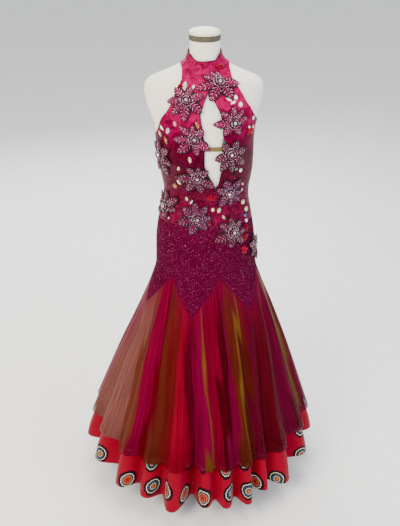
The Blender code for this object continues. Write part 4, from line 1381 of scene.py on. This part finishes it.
def skirt_layer(prefix, columns, panels, edges, rows, form, half, finish, ripple, marks):
    """One layer of the skirt as six panels, a godet each."""
    tops, bottoms = edges
    shares = np.linspace(0, 1, rows)
    grid = skirt_grid(columns, tops, bottoms, shares, form, ripple)
    normals = grid_normals(grid, closed=True)
    count = grid.shape[1]
    step = np.linalg.norm(np.roll(grid[-1], -1, axis=0) - grid[-1], axis=-1)
    across = np.concatenate([[0], np.cumsum(step)])
    down = (tops - bottoms)[None, :] * shares[:, None]
    made = []
    for name, first, width in panels:
        picks = np.arange(first, first + width) % count
        middles = grid[:, picks].copy()
        middles[:, 0] += unit(middles[:, 1] - middles[:, 0]) * SEAM_GAP / 2
        middles[:, -1] += unit(middles[:, -2] - middles[:, -1]) * SEAM_GAP / 2
        along = np.broadcast_to(across[first:first + width], (rows, width))
        uv = np.stack([along, -down[:, picks]], axis=-1)
        own = {label: values[:, picks].reshape(-1, *values.shape[2:]) for label, values in marks.items()}
        thick = np.repeat(np.broadcast_to(half, rows), width)
        panel = wall(f"{prefix}_{name}", middles, normals[:, picks], grid_faces(rows, width), thick,
                     finish, uv, own)
        made.append((name, panel))
    return made


def sew_panels(made, slot, node):
    """Places a layer's panels."""
    for name, panel in made:
        place(panel, slot, f"{node}_{name}")


def build_overlay():
    """The shot organza overlay, a panel for each godet."""
    columns, panels = skirt_columns(FLUTE_STEPS)
    edges = (columns["edge"] - YOKE_EDGE_GAP, OVERLAY_HEM + OVERLAY_FOLLOWS * columns["hem"])
    folds = small_folds(columns, 11, bpy.context.scene.dress_sizes.fold_depth)
    marks = streak_marks(columns, edges, OVERLAY_COVER_GAIN, OVERLAY_TONE)
    made = skirt_layer("organza_over", columns, panels, edges, LAYER_ROWS,
                       (OVERLAY_SHARE, 0.0, ORGANZA / 2), ORGANZA / 2, organza("shot_organza", 0.4),
                       folds, marks)
    sew_panels(made, "organza", "overlay")


def build_underskirt():
    """The crimson organza layer under the overlay, which carries the hem band."""
    columns, panels = skirt_columns(FLUTE_STEPS)
    edges = (columns["edge"] - UNDER_EDGE_GAP, np.full_like(columns["edge"], BAND_TOP))
    folds = small_folds(columns, 12, bpy.context.scene.dress_sizes.fold_depth * UNDER_FOLD_SHARE)
    marks = streak_marks(columns, edges, UNDER_COVER_GAIN, UNDER_TONE)
    made = skirt_layer("organza_under", columns, panels, edges, LAYER_ROWS,
                       (1.0, LAYER_GAP, LAYER_STEP), ORGANZA / 2, organza("crimson_organza", 0.45),
                       folds, marks)
    sew_panels(made, "organza_under", "underskirt")


def build_hem_band():
    """The printed band that ends the under layer in deep flutes, with a rolled lower edge."""
    columns, panels = skirt_columns(FLUTE_STEPS)
    edges = (np.full_like(columns["edge"], BAND_TOP - SEAM_GAP), columns["hem"])
    rolled = soft((np.linspace(0, 1, BAND_ROWS) - HEM_ROLL_START) / HEM_ROLL_REACH)
    half = CLOTH_HALF * (1 + HEM_ROLL_GAIN * rolled)
    made = skirt_layer("print_band", columns, panels, edges, BAND_ROWS,
                       (1.0, LAYER_GAP, LAYER_STEP), half, printed_satin(),
                       small_folds(columns, 13, BAND_RIPPLE), {})
    sew_panels(made, "hem_print", "hem_band")


def build_yoke():
    """The hip yoke, a closed tube whose lower edge runs up between the godets."""
    columns, _ = skirt_columns(YOKE_STEPS)
    rows = 64
    top = FRONT_SEAM - SEAM_GAP
    share = np.linspace(0, 1, rows)[:, None]
    heights = top + (columns["edge"] - top) * share
    turns = np.broadcast_to(columns["top_turn"], heights.shape)
    lift = 0.0003 * unevenness(turns * 1.5, heights * 1000, 60, 7)
    lift = lift * soft(share / 0.1) * soft((1 - share) / 0.1)
    faces = grid_faces(rows, heights.shape[1], closed=True)
    yoke = sheet_on_figure("yoke_panel", turns, heights, faces, lift, glitter_velvet())
    place(yoke, "wine_sparkle", "yoke")


# Applied flowers, folds and stones


def scatter_tree(name, primitive, sizes, finish, turned_out):
    """Geometry nodes that put one small shape on every point, at the point's size and direction."""
    tree = bpy.data.node_groups.new(name, "GeometryNodeTree")
    tree.interface.new_socket("Points", in_out="INPUT", socket_type="NodeSocketGeometry")
    scale = tree.interface.new_socket("Size", in_out="INPUT", socket_type="NodeSocketFloat")
    scale.default_value = 1.0
    tree.interface.new_socket("Geometry", in_out="OUTPUT", socket_type="NodeSocketGeometry")
    start = tree.nodes.new("NodeGroupInput")
    end = tree.nodes.new("NodeGroupOutput")
    shape = add_node(tree, primitive, inputs=sizes)
    own = add_node(tree, "GeometryNodeInputNamedAttribute", {"data_type": "FLOAT"}, {"Name": "size"})
    grown = add_node(tree, "ShaderNodeMath", {"operation": "MULTIPLY"}, {0: own, 1: start.outputs["Size"]})
    inputs = {"Points": start.outputs["Points"], "Instance": shape, "Scale": grown}
    if turned_out:
        out = add_node(tree, "GeometryNodeInputNamedAttribute",
                       {"data_type": "FLOAT_VECTOR"}, {"Name": "out"})
        inputs["Rotation"] = add_node(tree, "FunctionNodeAlignRotationToVector",
                                      {"axis": "Z"}, {"Vector": out})
    copies = add_node(tree, "GeometryNodeInstanceOnPoints", inputs=inputs)
    real = add_node(tree, "GeometryNodeRealizeInstances", inputs={"Geometry": copies})
    coated = add_node(tree, "GeometryNodeSetMaterial", inputs={"Geometry": real, "Material": finish})
    tree.links.new(coated.outputs["Geometry"], end.inputs["Geometry"])
    return tree, scale.identifier


def scattered(name, tree_and_size, points, sizes, outs, tints, finish, size=1.0):
    """Runs a scatter tree over points and keeps its result as a plain mesh."""
    tree, identifier = tree_and_size
    marks = {"size": sizes, "out": outs, "tint": tints}
    seeds = add_mesh(name + "_points", points, [], finish, marks=marks, smooth=False)
    grower = seeds.modifiers.new("Scatter", "NODES")
    grower.node_group = tree
    grower[identifier] = size
    graph = bpy.context.evaluated_depsgraph_get()
    mesh = bpy.data.meshes.new_from_object(seeds.evaluated_get(graph))
    mesh.name = name
    bpy.data.objects.remove(seeds)
    made = bpy.data.objects.new(name, mesh)
    bpy.context.scene.collection.objects.link(made)
    return made


def petal_places(direction, length, room):
    """A petal's grid of (across, up, out) round the flower's middle, rows from root to tip."""
    s = np.linspace(0, 1, PETAL_ROWS)[:, None]
    t = np.linspace(1, -1, PETAL_COLUMNS + 1)[None, :]
    # The widest place, half-way along, stays between the neighbours
    widest = min(PETAL_WIDTH * length, math.tan(math.radians(room / 2)) * length * PETAL_ROOM_SHARE)
    along = length * (PETAL_ROOT + (1 - PETAL_ROOT) * s)
    swell = np.sin(math.pi * np.clip(s * 0.95 + 0.05, 0, 1) ** 0.97)
    half = widest * swell ** (0.80 + 0.10 * s) + PETAL_HALF
    aside = half * t
    angle = math.radians(direction)
    x = along * math.cos(angle) - aside * math.sin(angle)
    y = along * math.sin(angle) + aside * math.cos(angle)
    arch = PETAL_ARCH * np.sin(math.pi * s ** 0.8) * (1 - 0.8 * t * t)
    vein = PETAL_VEIN_RISE * np.exp(-((t / 0.16) ** 2)) * np.sin(math.pi * s ** 0.6)
    ribs = PETAL_RIB_RISE * np.sin(math.tau * (s * VEIN_PAIRS - abs(t) * 0.9))
    ribs = ribs * (1 - abs(t)) * soft(s / 0.1)
    out = arch + vein + ribs + PETAL_TIP_LIFT * s ** 3
    return x, y, out


def petal_rooms(petals):
    """How many degrees each petal has between its neighbours."""
    order = sorted(direction for direction, _ in petals)
    rooms = {}
    for k, direction in enumerate(order):
        before = (direction - order[k - 1]) % 360
        after = (order[(k + 1) % len(order)] - direction) % 360
        rooms[direction] = before / 2 + after / 2
    return rooms


def build_flowers():
    """The beaded flowers: net petals with corded edges, beaded veins, and a crystal in the middle."""
    settings = bpy.context.scene.dress_sizes
    random = np.random.default_rng(21)
    beads, outs, sizes, tints = [], [], [], []
    stones, stone_outs, stone_tints = [], [], []

    def add_beads(lay, x, y, out, size, tone):
        points, normals = lay(x, y, out)
        for point, normal in zip(np.reshape(points, (-1, 3)), np.reshape(normals, (-1, 3))):
            beads.append(point)
            outs.append(normal)
            sizes.append(size * random.uniform(0.8, 1.15))
            tints.append(linear(tone[int(random.choice(len(tone), p=(0.4, 0.25, 0.2, 0.15)))]))

    edge_share = np.linspace(1, -1, PETAL_COLUMNS + 1)[None, :] ** 2
    near_root = 1 - np.linspace(0, 1, PETAL_ROWS)[:, None]
    dark = np.array(hue("cord", 1.4))
    petal_faces = grid_faces(PETAL_ROWS, PETAL_COLUMNS + 1)
    for name, turn, height, lift, tone_name, petals in FLOWERS:
        lay = laid(turn, height)
        tone = BEAD_TONES[tone_name]
        glow = np.array(hue("petal_glow", PETAL_GLOWS[tone_name]))
        base = lift / 1000 + PETAL_REST
        rooms = petal_rooms(petals)
        points, normals, faces, uv, tones, cords = [], [], [], [], [], []
        for k, (direction, length_mm) in enumerate(petals):
            length = length_mm / 1000 * settings.petal_reach
            x, y, out = petal_places(direction, length, rooms[direction])
            out = out + base + PETAL_STAGGER * (k % 2)
            placed, normal = lay(x, y, out)
            start = sum(map(len, points))
            faces += [tuple(start + i for i in face) for face in petal_faces]
            points.append(placed.reshape(-1, 3))
            normals.append(normal.reshape(-1, 3))
            uv.append(np.stack([x, y], axis=-1).reshape(-1, 2) + k)
            # The net fades to the cord's dark colour towards each petal's edges, which are dark, and
            # towards its root, where the dark is painted shade between the petals.
            mix = np.clip(1.15 - edge_share * 0.75 - near_root * 0.8 + random.uniform(-0.15, 0.15), 0, 1)
            tones.append((dark + (glow - dark) * mix[..., None]).reshape(-1, 4))
            border = np.concatenate([placed[:, 0], placed[-1:, PETAL_COLUMNS // 2], placed[::-1, -1]])
            moved = np.linalg.norm(np.diff(border, axis=0), axis=-1) > 1e-5
            cords.append(border[np.concatenate([[True], moved])])
            add_petal_beads(add_beads, lay, x, y, out, length, tone)
        petal_mesh = wall(f"{name}_petals", np.vstack(points), np.vstack(normals), faces, PETAL_HALF,
                          petal_net(), np.vstack(uv), {"petal_tone": np.vstack(tones)})
        place(petal_mesh, "beaded_petal", name)
        cord_points, cord_faces = tube_parts(cords, settings.cord_radius, CORD_SIDES)
        place(add_mesh(f"{name}_cord", cord_points, cord_faces, twisted_cord()), "beaded_petal")
        place(flower_centre(name, lay, base), "beaded_petal")
        for radius, count, size, ring_tones in CENTRE_RINGS:
            angle = np.arange(count) * math.tau / count + random.uniform(0, 1)
            rise = base + dome(radius / 1000 / CENTRE_RADIUS) + CENTRE_BEAD_LIFT
            add_beads(lay, radius / 1000 * np.cos(angle), radius / 1000 * np.sin(angle),
                      np.full(count, rise), size / 1000, ring_tones)
        point, normal = lay(0.0, 0.0, base + CENTRE_HEIGHT + CENTRE_STONE_LIFT)
        stones.append(point)
        stone_outs.append(normal)
        stone_tints.append(linear(CENTRE_STONE_TINT))
    bead_tree = scatter_tree("Seed beads", "GeometryNodeMeshIcoSphere", {"Radius": 1.0, "Subdivisions": 1},
                             lined_glass(), False)
    place(scattered("petal_beads", bead_tree, beads, sizes, outs, tints, lined_glass()), "beaded_petal")
    stone_tree = scatter_tree("Round stones", "GeometryNodeMeshCone",
                              {"Vertices": 10, "Radius Top": 0.5, "Radius Bottom": 1.0, "Depth": 0.62},
                              foiled_stone(), True)
    sizes = np.full(len(stones), CENTRE_STONE)
    place(scattered("flower_crystals", stone_tree, stones, sizes, stone_outs, stone_tints, foiled_stone()),
          "set_stone")


def add_petal_beads(add_beads, lay, x, y, out, length, tone):
    """Beads along a petal's middle vein and up its slanted side veins."""
    settings = bpy.context.scene.dress_sizes
    rows, columns = x.shape
    middle = columns // 2

    def along(path_s, path_t):
        r = np.clip(path_s, 0, 1) * (rows - 1)
        c = (1 - np.clip(path_t, -1, 1)) / 2 * (columns - 1)
        r0, c0 = np.minimum(r.astype(int), rows - 2), np.minimum(c.astype(int), columns - 2)
        fr, fc = r - r0, c - c0
        found = []
        for field in (x, y, out):
            top = field[r0, c0] * (1 - fc) + field[r0, c0 + 1] * fc
            low = field[r0 + 1, c0] * (1 - fc) + field[r0 + 1, c0 + 1] * fc
            found.append(top * (1 - fr) + low * fr)
        return found

    count = int(length * (1 - PETAL_ROOT) * 0.84 / settings.bead_spacing)
    s = np.linspace(0.12, 0.95, count)
    px, py, po = along(s, np.zeros(count))
    add_beads(lay, px, py, po + VEIN_BEAD_LIFT, settings.bead_radius * MIDDLE_BEAD_SHARE, tone)
    spread = abs(y[rows // 2, 0] - y[rows // 2, middle]) + abs(x[rows // 2, 0] - x[rows // 2, middle])
    per_vein = max(2, int(spread / settings.bead_spacing * 1.15))
    for k in range(VEIN_PAIRS):
        root = 0.14 + 0.60 * k / (VEIN_PAIRS - 1)
        reach = np.linspace(0.30, 0.78, per_vein)
        for side in (-1, 1):
            px, py, po = along(root + VEIN_SLANT * reach * (1 - root * 0.6), side * reach)
            add_beads(lay, px, py, po + SIDE_BEAD_LIFT, settings.bead_radius, tone)


def dome(share):
    """The height of a flower's middle at a share of its radius."""
    return CENTRE_HEIGHT * math.sqrt(max(0.0, 1 - min(share, 1.0) ** 2)) * 0.9 + 0.0006


def flower_centre(name, lay, base):
    """The padded middle that carries the crystal."""
    rings, sides = 6, 20
    angles = np.arange(sides) * math.tau / sides
    points = []
    levels = [(1 - r / rings, base + dome(1 - r / rings)) for r in range(rings)]
    for share, out in ((1.0, base * 0.5), *levels):
        radius = CENTRE_RADIUS * share
        points.append(lay(radius * np.cos(angles), radius * np.sin(angles), np.full(sides, out))[0])
    top, _ = lay(0.0, 0.0, base + dome(0.0))
    points = np.vstack([*points, top[None]])
    last = rings * sides
    faces = [(a, d, c, b) for a, b, c, d in grid_faces(rings + 1, sides, closed=True)]
    faces += [(last + s, last + (s + 1) % sides, last + sides) for s in range(sides)]
    faces.append(tuple(reversed(range(sides))))
    tones = np.tile(hue("petal_glow", 0.45), (len(points), 1))
    return add_mesh(f"{name}_middle", points, faces, petal_net(), points[:, [0, 2]], {"petal_tone": tones})


def build_red_folds():
    """Small red silk pieces, each a few folds gathered at one point."""
    rows, columns = 14, 24
    share = np.linspace(0, 1, rows)[:, None]
    angle = np.arange(columns)[None, :] * math.tau / columns
    for number, (name, turn, height, across, tall) in enumerate(RED_FOLDS):
        lay = laid(turn, height)
        phase = number * 1.3
        radius = share * (1 + 0.14 * np.cos(3 * angle + phase) + 0.08 * np.cos(5 * angle - phase))
        x = across / 2000 * RED_FOLD_SPREAD * radius * np.cos(angle)
        y = tall / 2000 * RED_FOLD_SPREAD * radius * np.sin(angle)
        folds = np.abs(np.cos(1.5 * angle + phase + share * 2.2)) ** 0.7
        rise = RED_FOLD_RISE * (1 - share ** 2.4) * (0.45 + 0.55 * folds) * soft(share * 3 + 0.3)
        out = RED_FOLD_REST + rise
        placed, _ = lay(x[1:], y[1:], out[1:])
        middle, _ = lay(0.0, 0.0, 0.0040)
        under, _ = lay(x[-1], y[-1], np.full(columns, 0.0006))
        points = np.vstack([placed.reshape(-1, 3), under, middle[None]])
        top, last = len(points) - 1, (rows - 1) * columns
        faces = grid_faces(rows, columns, closed=True)
        faces += [(top, s, (s + 1) % columns) for s in range(columns)]
        faces.append(tuple(last + s for s in reversed(range(columns))))
        place(add_mesh(f"{name}_silk", points, faces, red_silk()), "red_cloth", name)


def stone_parts(turn, height, across, tall, tilt):
    """A faceted stone: a girdle, a crown with a table, and a flat back."""
    lay = laid(turn, height)
    angles = (np.arange(STONE_SIDES) + 0.5) * math.tau / STONE_SIDES
    pointed = 1.75 if tall > across * 1.3 else 0.8
    x0 = across / 2000 * np.sign(np.cos(angles)) * abs(np.cos(angles)) ** pointed
    y0 = tall / 2000 * np.sign(np.sin(angles)) * abs(np.sin(angles)) ** 0.85
    lean = math.radians(tilt)
    x = x0 * math.cos(lean) - y0 * math.sin(lean)
    y = x0 * math.sin(lean) + y0 * math.cos(lean)
    levels = ((1.0, 0.0004), (1.0, 0.0014), (0.78, 0.0031), (0.46, STONE_HEIGHT))
    points = np.vstack([lay(x * grow, y * grow, np.full(STONE_SIDES, out))[0] for grow, out in levels])
    faces = []
    for a, b, c, d in grid_faces(len(levels), STONE_SIDES, closed=True):
        faces += [(a, d, c), (a, c, b)]
    last = (len(levels) - 1) * STONE_SIDES
    faces.append(tuple(last + s for s in range(STONE_SIDES)))
    faces.append(tuple(reversed(range(STONE_SIDES))))
    return points, faces


def build_stones():
    """The large set stones, and the small ones sewn between the flowers."""
    for name, turn, height, across, tall, tilt, colour in LARGE_STONES:
        points, faces = stone_parts(turn, height, across, tall, tilt)
        tints = np.tile(linear(STONE_COLOURS[colour]), (len(points), 1))
        made = add_mesh(f"{name}_cut", points, faces, foiled_stone(), marks={"tint": tints}, smooth=False)
        place(made, "set_stone", name)
    points, faces, tints = [], [], []
    for turn, height, across, tall, tilt, colour in SMALL_STONES:
        start = sum(map(len, points))
        own_points, own_faces = stone_parts(turn, height, across, tall, tilt)
        points.append(own_points)
        faces += [tuple(start + i for i in face) for face in own_faces]
        tints.append(np.tile(linear(STONE_COLOURS[colour]), (len(own_points), 1)))
    made = add_mesh("sewn_stones", np.vstack(points), faces, foiled_stone(),
                    marks={"tint": np.vstack(tints)}, smooth=False)
    place(made, "set_stone")


def build_glitter():
    """Bright flakes printed on the yoke and the lower bodice."""
    settings = bpy.context.scene.dress_sizes
    random = np.random.default_rng(31)
    count = settings.glitter_count
    turns = random.uniform(0, 360, count)
    heights = random.uniform(0, 1, count) ** 1.1 * (GLITTER_HIGH - GLITTER_LOW) + GLITTER_LOW
    columns, _ = skirt_columns(YOKE_STEPS)
    column_turns = columns["top_turn"] % 360
    order = np.argsort(column_turns)
    edge = np.interp(turns, column_turns[order], columns["edge"][order])
    back_top = curve(BACK_EDGE, np.clip(turns, 90, 270))[..., 0]
    keep = (heights > edge + 0.002) & (heights < back_top - 0.004)
    front_part = (turns < 90) | (turns > 270)
    signed = np.where(turns > 180, turns - 360, turns)
    hole_left, hole_right = columns_at(KEYHOLE, heights)
    in_hole = (signed > turn_at(hole_left, heights) - 2) & (signed < turn_at(hole_right, heights) + 2)
    keep &= ~(front_part & in_hole & (heights > KEYHOLE[-1][0]))
    turns, heights = signed[keep], heights[keep]
    normals = outward(turns, heights)
    points = figure(turns, heights) + normals * (OUTER_FACE + GLITTER_LIFT)
    tilt = random.normal(0, GLITTER_TILT, normals.shape)
    palette = np.array([linear(colour) for colour in GLITTER_COLOURS])
    tints = palette[random.integers(0, len(palette), len(turns))]
    sizes = random.uniform(0.6, 1.2, len(turns)) * settings.glitter_radius
    tree = scatter_tree("Glitter flakes", "GeometryNodeMeshCircle",
                        {"Vertices": 5, "Radius": 1.0}, foiled_stone(), True)
    tree[0].nodes["Mesh Circle"].fill_type = "TRIANGLE_FAN"
    made = scattered("glitter_flakes", tree, points, sizes, unit(normals + tilt), tints, foiled_stone())
    place(made, "wine_sparkle")


# Stage


def build_stage():
    """A plain pale floor, soft studio light, and the camera at the photograph's angle."""
    corners = [(x * FLOOR_REACH, y * FLOOR_REACH, 0) for x, y in ((-1, -1), (1, -1), (1, 1), (-1, 1))]
    add_mesh("studio_floor", corners, [(0, 1, 2, 3)], studio_paper(), smooth=False)
    collection = bpy.context.scene.collection
    for name, where, target, size, power, colour in LIGHTS:
        light = bpy.data.lights.new(name, "AREA")
        light.shape = "SQUARE"
        light.size = size
        light.energy = power
        light.color = linear(colour)[:3]
        lamp = bpy.data.objects.new(name, light)
        aim = np.array(target) - np.array(where)
        lamp.location = where
        flat = math.hypot(aim[0], aim[1])
        lamp.rotation_euler = (math.atan2(flat, -aim[2]), 0, math.atan2(aim[1], aim[0]) - math.pi / 2)
        collection.objects.link(lamp)
    world = bpy.data.worlds.new("Studio")
    bpy.context.scene.world = world
    world.use_nodes = True
    background = world.node_tree.nodes["Background"]
    background.inputs["Color"].default_value = linear(STUDIO_AIR)
    background.inputs["Strength"].default_value = STUDIO_AIR_STRENGTH
    camera = bpy.data.objects.new("camera", bpy.data.cameras.new("camera"))
    camera.location = CAMERA_PLACE
    camera.rotation_euler = (math.radians(90 - CAMERA_PITCH), 0, 0)
    camera.data.lens = CAMERA_LENS
    collection.objects.link(camera)
    bpy.context.scene.camera = camera


# Add-on


def length_property(name, description, default):
    """A length that the user may change."""
    return bpy.props.FloatProperty(
        name=name, description=description, default=default, min=0, unit="LENGTH", precision=4)


def colour_property(name, description, hex_colour):
    """A colour that the user may change."""
    return bpy.props.FloatVectorProperty(
        name=name, description=description, default=linear(hex_colour), size=4, min=0, max=1,
        subtype="COLOR")


class DressSizes(bpy.types.PropertyGroup):
    """Sizes that a user would change."""

    petal_reach: bpy.props.FloatProperty(
        name="Petal reach", description="How far every petal reaches, as a share of its own length",
        default=1.18, min=0.5, max=1.4, subtype="FACTOR")
    cord_radius: length_property("Petal cord", "Radius of the cord round each petal", 0.0014)
    bead_radius: length_property("Seed beads", "Radius of the beads along the veins", 0.00112)
    bead_spacing: length_property("Bead spacing", "Distance between two beads of a vein", 0.0034)
    fold_depth: length_property("Small folds", "Depth of the organza's small folds", 0.0045)
    print_repeat: length_property("Print repeat", "Distance between two roundels of the print", 0.108)
    glitter_count: bpy.props.IntProperty(
        name="Glitter flakes", description="How many flakes are tried on the yoke and the bodice",
        default=5000, min=0)
    glitter_radius: length_property("Flake size", "Radius of one glitter flake", 0.00065)


class DressColours(bpy.types.PropertyGroup):
    """Colours that a user would change."""

    form_cloth: colour_property("Form", "Jersey of the dress form", "#FAF4E6")
    satin_high: colour_property("Satin, high", "Satin of the collar and the upper front", "#9C0048")
    satin_low: colour_property("Satin, low", "Satin at the waist", "#4C0420")
    velvet: colour_property("Velvet", "Pile of the hip yoke", "#440220")
    velvet_speck: colour_property("Velvet specks", "Glitter printed on the velvet", "#98306A")
    organza: colour_property("Organza", "Sheen of the two organza layers", "#9A1030")
    print_ground: colour_property("Print ground", "Ground of the hem print", "#80021E")
    print_dark: colour_property("Print, dark rings", "Dark rings of the roundels", "#0A0A16")
    print_cream: colour_property("Print, cream rings", "Cream rings of the roundels", "#C8BC94")
    print_warm: colour_property("Print, warm rings", "Orange rings of the roundels", "#C0500C")
    print_cool: colour_property("Print, cool rings", "Blue rings of the roundels", "#24507C")
    petal_glow: colour_property("Petals", "Net of the flower petals", "#580E30")
    cord: colour_property("Petal cord", "Cord round the petals and the bindings", "#1C030B")
    bead: colour_property("Beads", "Seed beads before their own tints", "#A88496")
    red_cloth: colour_property("Red folds", "Silk of the folded red pieces", "#9A0428")
    strap: colour_property("Strap", "Elastic across the keyhole", "#6E5A1E")
    floor: colour_property("Floor", "Paper floor of the stage", "#FAFAF8")


class DressFormOperator(bpy.types.Operator):
    """Build the torso, its neck tape and its cap"""

    bl_idname = "dress.form"
    bl_label = "Dress form"

    def execute(self, context):
        build_form()
        return {"FINISHED"}


class DressStandOperator(bpy.types.Operator):
    """Build the flange, the pole and the base"""

    bl_idname = "dress.stand"
    bl_label = "Stand"

    def execute(self, context):
        build_stand()
        return {"FINISHED"}


class DressCollarOperator(bpy.types.Operator):
    """Build the crushed halter collar"""

    bl_idname = "dress.collar"
    bl_label = "Collar"

    def execute(self, context):
        build_collar()
        return {"FINISHED"}


class DressFrontOperator(bpy.types.Operator):
    """Build the halter front with its keyhole"""

    bl_idname = "dress.front"
    bl_label = "Front"

    def execute(self, context):
        build_front()
        return {"FINISHED"}


class DressBackOperator(bpy.types.Operator):
    """Build the low back"""

    bl_idname = "dress.back"
    bl_label = "Back"

    def execute(self, context):
        build_back()
        return {"FINISHED"}


class DressStrapOperator(bpy.types.Operator):
    """Build the elastic across the keyhole"""

    bl_idname = "dress.strap"
    bl_label = "Keyhole strap"

    def execute(self, context):
        build_strap()
        return {"FINISHED"}


class DressYokeOperator(bpy.types.Operator):
    """Build the hip yoke"""

    bl_idname = "dress.yoke"
    bl_label = "Yoke"

    def execute(self, context):
        build_yoke()
        return {"FINISHED"}


class DressUnderskirtOperator(bpy.types.Operator):
    """Build the organza layer that carries the hem band"""

    bl_idname = "dress.underskirt"
    bl_label = "Under layer"

    def execute(self, context):
        build_underskirt()
        return {"FINISHED"}


class DressHemBandOperator(bpy.types.Operator):
    """Build the printed hem band"""

    bl_idname = "dress.hem_band"
    bl_label = "Hem band"

    def execute(self, context):
        build_hem_band()
        return {"FINISHED"}


class DressOverlayOperator(bpy.types.Operator):
    """Build the shot organza overlay"""

    bl_idname = "dress.overlay"
    bl_label = "Overlay"

    def execute(self, context):
        build_overlay()
        return {"FINISHED"}


class DressGlitterOperator(bpy.types.Operator):
    """Scatter glitter flakes over the yoke and the lower bodice"""

    bl_idname = "dress.glitter"
    bl_label = "Glitter"

    def execute(self, context):
        build_glitter()
        return {"FINISHED"}


class DressFlowersOperator(bpy.types.Operator):
    """Build the beaded flowers"""

    bl_idname = "dress.flowers"
    bl_label = "Flowers"

    def execute(self, context):
        build_flowers()
        return {"FINISHED"}


class DressRedFoldsOperator(bpy.types.Operator):
    """Build the folded red silk pieces"""

    bl_idname = "dress.red_folds"
    bl_label = "Red folds"

    def execute(self, context):
        build_red_folds()
        return {"FINISHED"}


class DressStonesOperator(bpy.types.Operator):
    """Build the large set stones and the small sewn ones"""

    bl_idname = "dress.stones"
    bl_label = "Stones"

    def execute(self, context):
        build_stones()
        return {"FINISHED"}


class DressStageOperator(bpy.types.Operator):
    """Build the floor, the lights and the camera"""

    bl_idname = "dress.stage"
    bl_label = "Stage"

    def execute(self, context):
        build_stage()
        return {"FINISHED"}


OPERATORS = (
    DressFormOperator,
    DressStandOperator,
    DressCollarOperator,
    DressFrontOperator,
    DressBackOperator,
    DressStrapOperator,
    DressYokeOperator,
    DressUnderskirtOperator,
    DressHemBandOperator,
    DressOverlayOperator,
    DressGlitterOperator,
    DressFlowersOperator,
    DressRedFoldsOperator,
    DressStonesOperator,
    DressStageOperator,
)


class DressPanel(bpy.types.Panel):
    """The dress's sizes, colours and pieces"""

    bl_idname = "DRESS_PT_pieces"
    bl_label = "Ballroom dress"
    bl_space_type = "VIEW_3D"
    bl_region_type = "UI"
    bl_category = "Dress"

    def draw(self, context):
        scene = context.scene
        for heading, group in (("Sizes", scene.dress_sizes), ("Colours", scene.dress_colours)):
            box = self.layout.box()
            box.label(text=heading)
            for label in group.__annotations__:
                box.prop(group, label)
        for operator in OPERATORS:
            self.layout.operator(operator.bl_idname)


CLASSES = (DressSizes, DressColours, *OPERATORS, DressPanel)


def register():
    for each in CLASSES:
        bpy.utils.register_class(each)
    bpy.types.Scene.dress_sizes = bpy.props.PointerProperty(type=DressSizes)
    bpy.types.Scene.dress_colours = bpy.props.PointerProperty(type=DressColours)


def unregister():
    del bpy.types.Scene.dress_colours
    del bpy.types.Scene.dress_sizes
    for each in reversed(CLASSES):
        bpy.utils.unregister_class(each)


def main():
    register()
    for operator in OPERATORS:
        group, name = operator.bl_idname.split(".")
        getattr(getattr(bpy.ops, group), name)()


if __name__ == "__main__":
    main()
